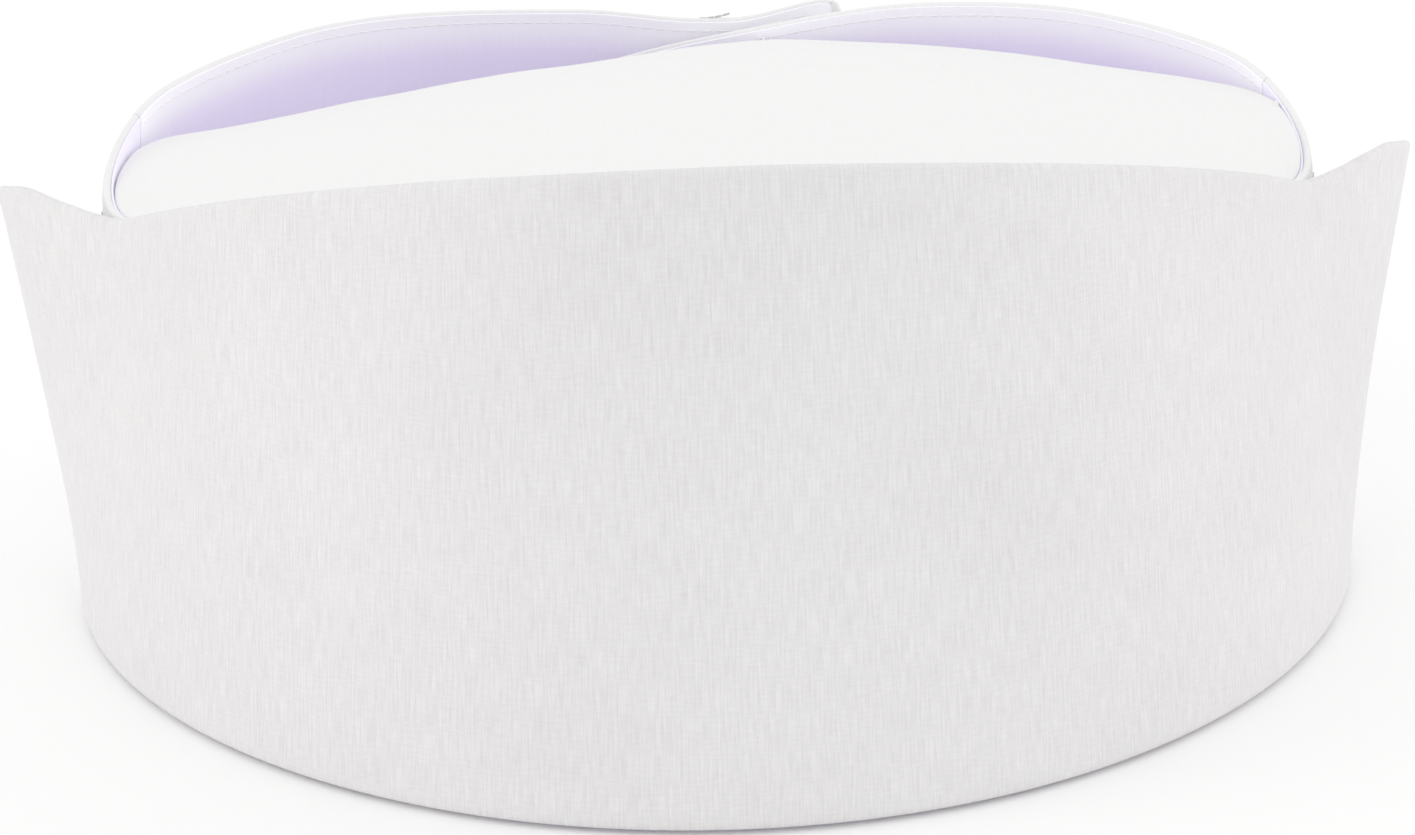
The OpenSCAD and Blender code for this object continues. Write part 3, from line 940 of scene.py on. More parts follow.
@dataclass
class ThreadRow:
    """A row of lockstitches: short sunk capsules of thread along a path.

    Attributes:
        name: the piece's name.
        path: gives the point at a share of the row, in millimetres.
        length: the row's length.
        thread: thickness of the thread.
        stitch: length of one stitch.
        space: space between two stitches.
        bulge: how much the twist swells and narrows the thread, as a share of its thickness.
        bulge_turns: how fast the swelling changes along a stitch, in radians.
    """

    name: str
    path: Callable[[float], np.ndarray]
    length: float
    thread: float = 0.18
    stitch: float = 1.9
    space: float = 0.5
    bulge: float = 0.06
    bulge_turns: float = 9.0

    def build(self) -> bpy.types.Object:
        """Builds one stitch, copies it along the row and joins the copies.

        Returns:
            The object.
        """
        select_none()
        bpy.ops.mesh.primitive_uv_sphere_add(segments=8, ring_count=6, radius=0.5)
        master = bpy.context.object
        for vertex in master.data.vertices:
            reach = 0.5 - self.thread / self.stitch * 0.5
            vertex.co.z = math.copysign(reach, vertex.co.z) + vertex.co.z * self.thread / self.stitch \
                if abs(vertex.co.z) > 0.01 else 0.0
            bulge = 1.0 + self.bulge * math.sin(self.bulge_turns * vertex.co.z)
            vertex.co.x *= bulge
            vertex.co.y *= bulge
        count = max(1, int(self.length / (self.stitch + self.space)))
        share = self.stitch / (self.stitch + self.space)
        pieces = []
        for i in range(count):
            a = self.path(i / count)
            b = self.path((i + share) / count)
            pieces.append(self._copy(master, a, b))
        bpy.data.objects.remove(master)
        select_none()
        for piece in pieces:
            piece.select_set(True)
        bpy.context.view_layer.objects.active = pieces[0]
        if len(pieces) > 1:
            bpy.ops.object.join()
        row = bpy.context.object
        row.name = row.data.name = self.name
        for polygon in row.data.polygons:
            polygon.use_smooth = True
        return row

    def _copy(self, master: bpy.types.Object, a: np.ndarray, b: np.ndarray) -> bpy.types.Object:
        """Copies the stitch so that it runs from a to b.

        Args:
            master: the stitch.
            a: the point where it starts.
            b: the point where it ends.

        Returns:
            The copy.
        """
        copy = master.copy()
        copy.data = master.data.copy()
        bpy.context.scene.collection.objects.link(copy)
        run = Vector(b - a)
        turn = Vector((0, 0, 1)).rotation_difference(run).to_matrix().to_4x4()
        size = Matrix.Diagonal((self.thread * MM, self.thread * MM, run.length * MM, 1.0))
        copy.data.transform(Matrix.Translation(Vector((a + b) / 2) * MM) @ turn @ size)
        return copy


@dataclass
class Cuff:
    """The turned-up front cuff with its two wings: a face, a stiffener and a backing."""

    shop: Workshop
    end_angle: float = 90.0
    ply_low: float = 2.2
    backing_depth: float = 0.9
    backing_thickness: float = 0.3
    pucker: float = 0.07
    pucker_reach: float = 9.0
    pucker_rate: float = 1.9
    pucker_swing: float = 2.0
    pucker_drift: float = 0.37
    calm_below: float = 12.0
    seed: int = 11
    columns: int = 190
    rows: int = 60

    def depth_field(self, t: np.ndarray, z: np.ndarray) -> np.ndarray:
        """Unevenness that the cuff's plies share: slow ripples and small puckers under the top.

        Args:
            t: angles.
            z: heights.

        Returns:
            The depths.
        """
        form = self.shop.form
        below = np.clip((form.cuff_top(t) - z) / self.pucker_reach, 0.0, 1.0)
        phase = t * self.pucker_rate + self.pucker_swing * np.sin(t * self.pucker_drift)
        pucker = self.pucker * np.sin(phase) * (1.0 - below) ** 2
        calm = smooth(z / self.calm_below)
        return ripple(t, z, self.seed) * calm + pucker

    def place(self, inset: float = 0.0, low: float = 0.0) -> Rule:
        """Makes the rule that places the points of one ply.

        Args:
            inset: depth of the ply behind the cuff's face.
            low: how far the ply's lower edge is above the bottom.

        Returns:
            The rule.
        """
        form = self.shop.form
        degrees = arc_angle(1.0, form.half_width)

        def rule(columns: Axis, rows: Axis, c: np.ndarray, r: np.ndarray) -> np.ndarray:
            """Places the vertices of the ply.

            Args:
                columns: stations along the cloth.
                rows: stations up the cloth.
                c: the column of each vertex.
                r: the row of each vertex.

            Returns:
                Points [x, y, z].
            """
            t = mix(-self.end_angle, self.end_angle, columns.weight[c]) + columns.offset[c] * degrees
            top = form.cuff_top(t)
            z = mix(low, top, rows.weight[r]) + rows.offset[r]
            fold = np.where(rows.weight[r] < 0.5, form.wall_inside / 2.0, form.stack / 2.0)
            row_share = np.minimum(1.0, rows.depth[r] / (2.0 * fold))
            at_bottom = (rows.weight[r] < 0.01) & (rows.depth[r] > 0.0)
            depth = rows.depth[r] + columns.depth[c] * (1.0 - row_share)
            hold = np.where(at_bottom, row_share, 0.0)
            wave = self.depth_field(t, z) * (1.0 - hold)
            return form.on_cuff(t, z, depth + inset + wave, hold)

        return rule

    def build(self) -> None:
        """Builds the three plies."""
        form = self.shop.form
        bottom = Hem(radius=form.wall_inside / 2.0, turn=9.0)
        side = Hem(radius=form.stack / 2.0, turn=6.5)
        top = Hem(radius=form.stack / 2.0, turn=6.5, lift=0.42)
        face = Sheet("cuff_face_cloth", Axis.build(side, side, self.columns),
                     Axis.build(bottom, top, self.rows), self.place()).build()
        self.shop.finish_piece(face, Slot.CUFF, ["cuff_face"], "cap",
                               Cloth((0.318, 0.118), 0.0316, ["crown_band_cloth"]))
        stiff = Sheet("cuff_buckram", Axis.build(RawEdge(1.6), RawEdge(1.6), 96),
                      Axis.build(RawEdge(0.0), RawEdge(1.6), 24), self.place(BUCKRAM_DEPTH, self.ply_low),
                      thickness=BUCKRAM_THICKNESS).build()
        self.shop.finish_piece(stiff, Slot.STIFF, ["cuff_interlining"], "cap",
                               Cloth((0.300, 0.092), 0.0235, ["cuff_face_cloth"]))
        backing = Sheet("cuff_backing_cloth", Axis.build(RawEdge(1.8), RawEdge(1.8), 150),
                        Axis.build(RawEdge(0.0), RawEdge(1.8), 40),
                        self.place(self.backing_depth, self.ply_low),
                        thickness=self.backing_thickness).build()
        self.shop.finish_piece(backing, Slot.LINING, ["cuff_backing"], "cap",
                               Cloth((0.300, 0.092), 0.0235, ["cuff_buckram"]))


@dataclass
class Band:
    """The band round the head behind the cuff, from one side seam to the other."""

    shop: Workshop
    ply_low: float = 0.9
    seed: int = 23

    def place(self, inset: float = 0.0, low: float = 0.75) -> Rule:
        """Makes the rule that places the points of one ply of the band.

        Args:
            inset: depth of the ply behind the band's face.
            low: height of the ply's lower edge.

        Returns:
            The rule.
        """
        form = self.shop.form
        degrees = arc_angle(1.0, form.half_width)
        end = form.seam_angle - SEAM_GAP

        def rule(columns: Axis, rows: Axis, c: np.ndarray, r: np.ndarray) -> np.ndarray:
            """Places the vertices of the ply.

            Args:
                columns: stations along the cloth.
                rows: stations up the cloth.
                c: the column of each vertex.
                r: the row of each vertex.

            Returns:
                Points [x, y, z].
            """
            t = mix(-end, end, columns.weight[c]) + columns.offset[c] * degrees
            z = mix(low, form.band_top(t), rows.weight[r]) + rows.offset[r]
            along = 1.0 - np.minimum(1.0, rows.depth[r] / form.stack)
            depth = rows.depth[r] + columns.depth[c] * along
            return form.on_ring(t, z, form.wall_depth + inset + depth)

        return rule

    def painted_shade(self, columns: Axis, rows: Axis, c: np.ndarray, r: np.ndarray) -> np.ndarray:
        """How much painted shade the lining gets, as a lavender tint: a little along the rim, and more low
        down.
        """
        return mix(0.85, 0.45, rows.weight[r]) * np.ones_like(columns.weight[c])

    def build(self) -> None:
        """Builds the band's three plies."""
        seam = RawEdge(0.0)
        rim = Hem(radius=0.6, turn=5.5)
        face = Sheet("crown_band_cloth", Axis.build(seam, seam, 150),
                     Axis.build(RawEdge(0.0), rim, 24), self.place()).build()
        self.shop.finish_piece(face, Slot.BAND, ["crown_wall"], "cap",
                               Cloth((0.350, 0.098), 0.0272, ["cuff_face_cloth"]))
        stiff = Sheet("crown_band_buckram", Axis.build(RawEdge(1.2), RawEdge(1.2), 80),
                      Axis.build(RawEdge(0.0), RawEdge(1.5), 12), self.place(BUCKRAM_DEPTH, self.ply_low),
                      thickness=BUCKRAM_THICKNESS).build()
        self.shop.finish_piece(stiff, Slot.STIFF, ["crown_wall_interlining"], "cap",
                               Cloth((0.345, 0.090), 0.0245, ["crown_band_cloth"]))
        lining = Sheet("crown_band_lining", Axis.build(RawEdge(0.1), RawEdge(0.1), 130),
                       Axis.build(RawEdge(0.0), RawEdge(0.55), 24), self.place(LINING_DEPTH, self.ply_low),
                       thickness=LINING_THICKNESS, shade=self.painted_shade).build()
        self.shop.finish_piece(lining, Slot.LINING, ["crown_wall_lining"], "cap",
                               Cloth((0.345, 0.090), 0.0247, ["crown_band_buckram"]))


@dataclass
class Crown:
    """The flat crown: a taut cloth sewn inside the band, with two folded rear edges."""

    shop: Workshop
    side_angle: float = 77.0
    corner_angle: float = 103.0
    corner_drop: float = 4.5
    corner_round: float = 6.0
    tilt: float = 1.4
    point_x: float = 12.0
    point_drop: float = 4.0
    point_gap: float = 1.6
    inset: float = 0.15
    edge_drop: float = 0.8
    dome: float = 3.0
    cloth_thickness: float = 0.34
    lining_thickness: float = 0.3
    lining_drop: float = 0.42
    side_bulge: int = 8
    point_soft: float = 0.03
    right_bow: float = 3.4
    left_bow: float = 0.6
    bow_rise: float = 0.9
    half_span: float = 92.0
    least_depth: float = 20.0
    wave: float = 1.4
    wave_turn: float = 60.0
    seed: int = 37

    def edge_height(self, t: np.ndarray) -> np.ndarray:
        """Height of the crown's sewn edge.

        Args:
            t: angles.

        Returns:
            The heights.
        """
        form = self.shop.form
        start = form.band_top(np.float64(self.side_angle)) - self.edge_drop
        corner = self.corner_height(np.sign(t))
        share = (np.abs(t) - self.side_angle) / (self.corner_angle - self.side_angle)
        return np.where(np.abs(t) <= self.side_angle, form.band_top(t) - self.edge_drop,
                        mix(start, corner, share))

    def corner_height(self, side: np.ndarray) -> np.ndarray:
        """Height of the rear corner on a side, given as the sign of X."""
        return self.shop.form.rim_height - self.corner_drop + side * self.tilt

    def edge(self, t: np.ndarray) -> np.ndarray:
        """Points of the crown's sewn edge, inside the band."""
        form = self.shop.form
        return form.on_ring(t, self.edge_height(t), form.wall_inside + self.inset + 0 * t)

    @property
    def corner(self) -> np.ndarray:
        """The rear corner on the +X side."""
        return self.edge(np.array(self.corner_angle))

    @property
    def corner_x(self) -> float:
        """How far out the rounded corner meets the side edge."""
        turn = math.degrees(self.corner_round / self.shop.form.half_width)
        return float(self.edge(np.array(self.corner_angle - turn))[0])

    @property
    def point(self) -> np.ndarray:
        """The rear point, just in front of the inner tail."""
        form = self.shop.form
        z = form.rim_height - form.rim_dip - self.point_drop
        a = form.half_width - form.side_taper * z
        b = form.rear_depth - form.front_taper * z
        y = b * math.sqrt(1 - (self.point_x / a) ** 2) - form.wall_inside - self.point_gap
        return np.array([self.point_x, y, z])

    def rear(self, u: np.ndarray) -> np.ndarray:
        """Points of the two rear edges, which meet in a soft point.

        Args:
            u: shares from side to side, -1 to 1.

        Returns:
            Points [x, y, z].
        """
        corner, point = self.corner, self.point
        x = self.corner_x * np.sin(np.radians(90.0 * u))
        side = np.where(x < point[0], -1.0, 1.0)
        s = (x - point[0]) / (side * corner[0] - point[0])
        soft = np.where(s < 1.0, np.sqrt(s * s + self.point_soft ** 2)
                        - self.point_soft * (1.0 - s), s)
        bow = 4.0 * s * (1.0 - s)
        reach = np.where(side > 0, self.right_bow, self.left_bow)
        y = mix(point[1], corner[1], soft) + reach * bow \
            - corner_cut(self.corner_x - np.abs(x), self.corner_round)
        z = mix(point[2], self.corner_height(side), soft) + self.bow_rise * bow
        return np.stack([x, y, z], -1)

    def surface(self, u: np.ndarray, v: np.ndarray) -> np.ndarray:
        """Points of the crown: u from side to side, v from the front edge to the rear edges.

        Args:
            u: shares from side to side, -1 to 1.
            v: shares from the front edge to the rear edges.

        Returns:
            Points [x, y, z].
        """
        front = self.edge(self.side_angle * u)
        rear = self.rear(u)
        hump = 4.0 * v * (1.0 - v)
        ends = self.edge(np.array(self.side_angle))[0] + self.corner_x
        at_side = self.edge(np.array(90.0))[0] - ends / 2.0
        points = mix(front, rear, v[..., None])
        points[..., 0] += np.sign(u) * at_side * hump * np.abs(u) ** self.side_bulge
        points[..., 2] += self.dome * hump * np.cos(np.radians(90.0 * u))
        return points

    def place(self, down: float) -> Rule:
        """Makes the rule that places the points of one ply.

        Args:
            down: how far the ply lies below the crown's top.

        Returns:
            The rule.
        """

        def rule(columns: Axis, rows: Axis, c: np.ndarray, r: np.ndarray) -> np.ndarray:
            """Places the vertices of the ply.

            Args:
                columns: stations along the cloth.
                rows: stations up the cloth.
                c: the column of each vertex.
                r: the row of each vertex.

            Returns:
                Points [x, y, z].
            """
            u = mix(-1.0, 1.0, columns.weight[c]) + columns.offset[c] / self.half_span
            u = np.clip(u, -1.0, 1.0)
            run = np.linalg.norm(self.rear(u) - self.edge(self.side_angle * u), axis=-1)
            v = rows.weight[r] + rows.offset[r] / np.maximum(self.least_depth, run)
            v = np.clip(v, 0.0, 1.0)
            points = self.surface(u, v)
            low_row = rows.weight[r] < 0.01
            fall = np.maximum(columns.depth[c], np.where(low_row, rows.depth[r], 0.0))
            under = np.where(low_row, 0.0, rows.depth[r])
            t = points[..., 0] / self.shop.form.half_width * self.wave_turn
            wave = ripple(t, points[..., 1], self.seed) * self.wave * np.clip(v * 4, 0, 1)
            points[..., 2] -= fall + under + down - wave * (fall < 0.5)
            return points

        return rule

    def build(self) -> None:
        """Builds the crown's cloth, with its flange and its folded rear edges, and its lining."""
        side = SewnEdge(flange=4.0)
        rear = Hem(radius=0.55, turn=8.0)
        top = Sheet("crown_top_cloth", Axis.build(side, side, 130),
                    Axis.build(SewnEdge(flange=5.0), rear, 84), self.place(0.0),
                    thickness=self.cloth_thickness).build()
        self.shop.finish_piece(top, Slot.CROWN, ["crown_top"], "cap",
                               Cloth((0.200, 0.178), 0.0229, ["crown_band_cloth"]))
        lining = Sheet("crown_top_lining_cloth", Axis.build(RawEdge(1.5), RawEdge(1.5), 90),
                       Axis.build(RawEdge(1.5), RawEdge(1.6), 60), self.place(self.lining_drop),
                       thickness=self.lining_thickness).build()
        self.shop.finish_piece(lining, Slot.LINING, ["crown_top_lining"], "cap",
                               Cloth((0.188, 0.158), 0.0194, ["crown_top_cloth"]))


@dataclass
class Tail:
    """A rear tail: three plies, hemmed along the rim, the bottom and the rounded end."""

    shop: Workshop
    side: Side
    body: str
    seed: int
    wave: float = 0.6
    wave_in: float = 12.0
    calm_from: float = 160.0
    calm_to: float = 175.0
    inner_turn: float = 8.0
    # The lining's lavender tint is painted shade: lightest near the seam, fullest towards the rear, none
    # just under the rim, fading in below it, and thinner towards the tail's end
    least_shade: float = 0.45
    shade_from: float = 100.0
    shade_to: float = 114.0
    unshaded_rim: float = 1.2
    rim_fade: float = 7.5
    shade_thinning: float = 0.8
    shade_thinning_run: float = 9.0

    @property
    def end(self) -> float:
        """The angle where this tail ends."""
        form = self.shop.form
        return form.inner_end if self.side is Side.RIGHT else form.outer_end

    @property
    def prefix(self) -> str:
        """The start of the names of this tail's pieces."""
        return "right_tail" if self.side is Side.RIGHT else "left_tail"

    @property
    def shade_thinning_from(self) -> float:
        """The angle past which the lining's painted shade thins out towards the tail's end."""
        return 163.0 if self.side is Side.RIGHT else 178.0

    def rim(self, t: np.ndarray) -> np.ndarray:
        """Height of this tail's rim."""
        form = self.shop.form
        return form.inner_rim(t) if self.side is Side.RIGHT else form.outer_rim(t)

    def depth(self, t: np.ndarray) -> np.ndarray:
        """Depth of this tail's outer face."""
        form = self.shop.form
        return form.inner_depth(t) if self.side is Side.RIGHT else form.outer_depth(t)

    def at(self, t: np.ndarray, z: np.ndarray, d: np.ndarray) -> np.ndarray:
        """Points of this tail at an angle, a height and a depth behind its face.

        Args:
            t: angles.
            z: heights.
            d: depths behind the face.

        Returns:
            Points [x, y, z].
        """
        form = self.shop.form
        wave = self.wave * ripple(t, z, self.seed) \
            * eased(t, form.seam_angle, form.seam_angle + self.wave_in) \
            * (1.0 - eased(t, self.calm_from, self.calm_to))
        points = form.on_ring(t, z, self.depth(t) + d + wave)
        points[..., 0] *= self.side.value
        return points

    def place(self, inset: float) -> Rule:
        """Makes the rule that places the points of one ply.

        Args:
            inset: depth of the ply behind the tail's face.

        Returns:
            The rule.
        """
        form = self.shop.form
        degrees = arc_angle(1.0, form.half_width - self.inner_turn)
        start = form.seam_angle + SEAM_GAP

        def rule(columns: Axis, rows: Axis, c: np.ndarray, r: np.ndarray) -> np.ndarray:
            """Places the vertices of the ply.

            Args:
                columns: stations along the cloth.
                rows: stations up the cloth.
                c: the column of each vertex.
                r: the row of each vertex.

            Returns:
                Points [x, y, z].
            """
            t = mix(start, self.end, columns.weight[c]) + columns.offset[c] * degrees
            low = form.tail_low(t, self.end)
            z = mix(low, self.rim(t), rows.weight[r]) + rows.offset[r]
            along = 1.0 - np.minimum(1.0, rows.depth[r] / form.stack)
            depth = rows.depth[r] + columns.depth[c] * along
            return self.at(t, z, inset + depth)

        return rule

    def painted_shade(self, columns: Axis, rows: Axis, c: np.ndarray, r: np.ndarray) -> np.ndarray:
        """How much painted shade the lining gets, as a lavender tint: none along the rim, and more below
        it.

        Args:
            columns: stations along the cloth.
            rows: stations up the cloth.
            c: the column of each vertex.
            r: the row of each vertex.

        Returns:
            The shares of tint.
        """
        t = mix(self.shop.form.seam_angle, self.end, columns.weight[c])
        low = self.shop.form.tail_low(t, self.end)
        below = (self.rim(t) - low) * (1.0 - rows.weight[r])
        # Less painted shade towards the tail's end
        thinning = self.shade_thinning * eased(t, self.shade_thinning_from, self.shade_thinning_from + self.shade_thinning_run)
        shade_share = mix(self.least_shade, 1.0, eased(t, self.shade_from, self.shade_to))
        return shade_share * smooth((below - self.unshaded_rim) / self.rim_fade) * (1.0 - thinning)

    def build(self) -> None:
        """Builds the tail's three plies."""
        seam = RawEdge(0.0)
        rim = Hem(radius=0.6, turn=5.5)
        flip = self.side is Side.LEFT
        kind = "fold" if self.side is Side.LEFT else self.body
        face = Sheet(self.prefix + "_cloth", Axis.build(seam, rim, 96), Axis.build(rim, rim, 34),
                     self.place(0.0), flip=flip).build()
        self.shop.finish_piece(face, Slot.BAND, [self.prefix + "_face"], kind,
                               Cloth((0.150, 0.088), 0.0106, [self.prefix + "_buckram"]))
        stiff = Sheet(self.prefix + "_buckram", Axis.build(RawEdge(1.4), RawEdge(1.4), 60),
                      Axis.build(RawEdge(1.4), RawEdge(1.4), 14), self.place(BUCKRAM_DEPTH),
                      thickness=BUCKRAM_THICKNESS, flip=flip).build()
        self.shop.finish_piece(stiff, Slot.STIFF, [self.prefix + "_interlining"], kind,
                               Cloth((0.145, 0.072), 0.0078, [self.prefix + "_cloth"]))
        lining = Sheet(self.prefix + "_lining_cloth", Axis.build(RawEdge(0.1), RawEdge(0.55), 110),
                       Axis.build(RawEdge(0.55), RawEdge(0.55), 34), self.place(LINING_DEPTH),
                       thickness=LINING_THICKNESS, flip=flip, shade=self.painted_shade).build()
        self.shop.finish_piece(lining, Slot.LINING, [self.prefix + "_lining"], kind,
                               Cloth((0.145, 0.072), 0.0081, [self.prefix + "_buckram"]))


# ---------------------------------------------------------------- trim


@dataclass
class Patch:
    """A hook or loop patch on a tail, with rounded corners and a raised pile."""

    shop: Workshop
    tail: Tail
    name: str
    node: str
    slot: Slot
    depth: float
    top_drop: float
    length: float = 30.0
    height: float = 20.0
    thickness: float = 1.0
    corner: float = 1.6
    shift: float = 6.0
    slack: float = 0.1
    bevel: float = 0.12

    def build(self) -> None:
        """Builds the tape as a thick rounded sheet that follows its tail."""
        form = self.shop.form
        span = arc_angle(self.length / 2.0, form.rear_depth)
        middle = 180.0 - self.tail.side.value * arc_angle(self.shift, form.rear_depth)
        tail = self.tail

        def rule(columns: Axis, rows: Axis, c: np.ndarray, r: np.ndarray) -> np.ndarray:
            """Places the vertices of the tape.

            Args:
                columns: stations along the cloth.
                rows: stations up the cloth.
                c: the column of each vertex.
                r: the row of each vertex.

            Returns:
                Points [x, y, z].
            """
            t = mix(middle - span, middle + span, columns.weight[c])
            from_end = np.minimum(columns.weight[c], 1 - columns.weight[c]) * self.length
            cut = corner_cut(from_end, self.corner)
            top = tail.rim(t) - self.top_drop
            z = mix(top - self.height + cut, top - cut, rows.weight[r])
            return tail.at(t, z, self.depth + 0 * t)

        columns = Axis.build(RawEdge(), RawEdge(), 40)
        ends = (1.0 - np.cos(columns.weight * math.pi)) / 2.0
        columns = Axis(ends, columns.offset, columns.depth, columns.turned)
        patch = Sheet(self.name, columns, Axis.build(RawEdge(), RawEdge(), 26), rule,
                      thickness=self.thickness - self.slack, flip=tail.side is Side.LEFT).build()
        apply_modifier(patch, "BEVEL", width=self.bevel * MM, segments=2, limit_method="ANGLE",
                       angle_limit=SHARP_ANGLE)
        body = "outer_tail" if tail.side is Side.LEFT else "cap"
        self.shop.finish_piece(patch, self.slot, [self.node], body)


@dataclass
class Stitching:
    """All rows of stitches and thread tacks."""

    shop: Workshop
    right: Tail
    left: Tail
    crown: Crown
    margin: float = 1.5
    hem_fold: float = 0.7
    sunk: float = 0.03
    seam_clear: float = 1.0
    end_clear: float = 3.0
    rim_row_start: float = 74.0
    column_clear: float = 1.6
    column_ends: float = 3.0
    crown_row_end: float = 76.0
    crown_row_drop: float = 3.6
    crown_row_length: float = 262.0
    patch_row_half: float = 13.2
    hook_row_drops: tuple[float, float] = (6.0, 19.5)
    loop_row_drops: tuple[float, float] = (8.5, 25.5)
    tack_angle: float = 84.0
    tack_drop: float = 5.6
    tack_rise: float = 2.4
    loose_start: float = 180.8
    loose_end: float = 184.0
    loose_lift: float = 0.9

    def row(self, name: str, node: str, body: str, path: Callable[[float], np.ndarray],
            length: float, **sizes: float) -> None:
        """Builds one row and binds it."""
        piece = ThreadRow(name, path, length, **sizes).build()
        self.shop.finish_piece(piece, Slot.THREAD, [node] if node else [], body)

    def tail_row(self, tail: Tail, name: str, node: str, body: str, start: float, end: float,
                 low: Callable[[float], float], depth: float) -> None:
        """Builds a row along a tail, between two angles, at a height rule and a depth.

        Args:
            tail: the tail it is sewn to.
            name: the piece's name.
            node: the CAD node it stands for, or nothing.
            body: the body it moves with.
            start: the angle where it starts.
            end: the angle where it ends.
            low: gives the height at an angle.
            depth: its depth behind the face.
        """
        length = arc(abs(end - start), self.shop.form.rear_depth)

        def path(share: float) -> np.ndarray:
            """Gives a point of the row."""
            t = np.array(mix(start, end, share))
            return tail.at(t, np.array(low(t)), depth)

        self.row(name, node, body, path, length)

    def build(self) -> None:
        """Builds every row and tack."""
        form = self.shop.form
        inside = form.stack + self.sunk
        outside = -self.sunk
        seam = form.seam_angle + self.seam_clear
        for tail, kind in ((self.right, "cap"), (self.left, "fold")):
            node = tail.prefix + "_hem_stitching"
            stop = tail.end - self.end_clear
            rule = lambda t, tail=tail: tail.rim(t) - self.margin - self.hem_fold
            self.tail_row(tail, tail.prefix + "_rim_stitches_inside", node, kind, seam, stop, rule, inside)
            self.tail_row(tail, tail.prefix + "_rim_stitches_outside", "", kind, seam, stop, rule, outside)
            low = lambda t, tail=tail: form.tail_low(t, tail.end) + self.margin + self.hem_fold
            self.tail_row(tail, tail.prefix + "_bottom_stitches", "", kind, seam, stop, low, outside)
        self.band_rows()
        self.patch_rows()
        self.tacks()

    def band_rows(self) -> None:
        """Builds the rows along the band's rim, down the side seams and round the crown's edge."""
        form = self.shop.form
        rows = []
        for side in Side:
            start, end = self.rim_row_start, form.seam_angle - self.seam_clear
            length = arc(end - start, form.half_width)

            def path(share: float, side: Side = side, start: float = start, end: float = end) -> np.ndarray:
                """Gives a point of the row.

                Args:
                    share: the share of the way along.
                    side: the side of the cap.
                    start: the angle where it starts.
                    end: the angle where it ends.

                Returns:
                    The point.
                """
                t = np.array(side.value * mix(start, end, share))
                return form.on_ring(t, form.band_top(t) - self.margin - self.hem_fold,
                                    np.array(form.wall_depth - self.sunk))

            word = side.name.lower()
            rows.append((f"{word}_band_rim_stitches", path, length))
            t_seam = np.array(side.value * (form.seam_angle - self.column_clear))

            def column(share: float, t: np.ndarray = t_seam) -> np.ndarray:
                """Gives a point of the row down the seam."""
                z = mix(self.column_ends, form.band_top(t) - self.column_ends, share)
                return form.on_ring(t, z, np.array(form.wall_depth - self.sunk))

            self.row(f"{word}_seam_stitches", f"{word}_seam_stitching", "cap", column,
                     float(form.band_top(t_seam)) - 2.0 * self.column_ends)
        for i, (name, path, length) in enumerate(rows):
            self.row(name, "band_hem_stitching" if i == 0 else "", "cap", path, length)

        def around(share: float) -> np.ndarray:
            """Gives a point of the row round the crown's edge.

            Args:
                share: the share of the way along.

            Returns:
                The point.
            """
            t = np.array(mix(-self.crown_row_end, self.crown_row_end, share))
            z = self.crown.edge_height(t) - self.crown_row_drop
            depth = form.wall_inside + self.crown.inset + self.crown.cloth_thickness + self.sunk
            return form.on_ring(t, z, np.array(depth))

        self.row("crown_seam_stitches", "crown_seam_stitching", "cap", around, self.crown_row_length)

    def patch_rows(self) -> None:
        """Builds the rows that hold the two closure patches."""
        form = self.shop.form
        span = arc_angle(self.patch_row_half, form.rear_depth)
        shift = arc_angle(Patch.shift, form.rear_depth)
        for tail, word, body, depth, drops in (
                (self.right, "hook", "cap", form.stack + self.sunk, self.hook_row_drops),
                (self.left, "loop", "outer_tail", -self.sunk, self.loop_row_drops)):
            middle = 180.0 - tail.side.value * shift
            for drop, place in zip(drops, ("top", "bottom")):
                self.tail_row(tail, f"{word}_patch_stitches_{place}",
                              f"{word}_patch_stitching" if place == "top" else "", body,
                              middle - span, middle + span,
                              lambda t, tail=tail, drop=drop: tail.rim(t) - drop, depth)

    def tacks(self) -> None:
        """Builds the bar tacks at the cuff's corners and the thread at the crown's rear point."""
        form = self.shop.form
        for side in Side:
            word = side.name.lower()
            at = side.value * self.tack_angle

            def bar(share: float, at: float = at, side: Side = side) -> np.ndarray:
                """Gives a point of the bar tack.

                Args:
                    share: the share of the way along.
                    at: the angle of the tack.
                    side: the side of the cap.

                Returns:
                    The point.
                """
                t = np.array(at + side.value * 0.15 * math.sin(37.0 * share))
                z = form.band_top(t) - self.tack_drop + self.tack_rise * share
                return form.on_ring(t, z, np.array(form.wall_depth - 0.12))

            self.row(f"{word}_cuff_tack_thread", f"{word}_cuff_tack", "cap", bar, 2.6,
                     thread=0.36, stitch=0.42, space=0.0)

        def loose(share: float) -> np.ndarray:
            """Gives a point of the loose end.

            Args:
                share: the share of the way along.

            Returns:
                The point.
            """
            t = np.array(mix(self.loose_start, self.loose_end, share))
            z = self.left.rim(t) + self.loose_lift * share ** 2 - 0.1
            return self.left.at(t, z, np.array(BUCKRAM_DEPTH))

        end = ThreadRow("left_tail_loose_end", loose, 4.8, thread=0.42, stitch=1.1,
                        space=0.02).build()
        self.shop.finish_piece(end, Slot.STIFF, [], "outer_tail")
        point = self.crown.point

        def thread(share: float) -> np.ndarray:
            """Gives a point of the thread at the crown's rear point.

            Args:
                share: the share of the way along.

            Returns:
                The point.
            """
            swing = 0.5 * math.sin(2 * math.pi * share)
            return point + np.array([swing, mix(-0.3, self.crown.point_gap + 0.1, share),
                                     0.15 * math.sin(math.pi * share)])

        self.row("crown_tack_thread", "crown_tack", "cap", thread, 2.4, thread=0.34, stitch=0.5,
                 space=0.0)


# ---------------------------------------------------------------- studio


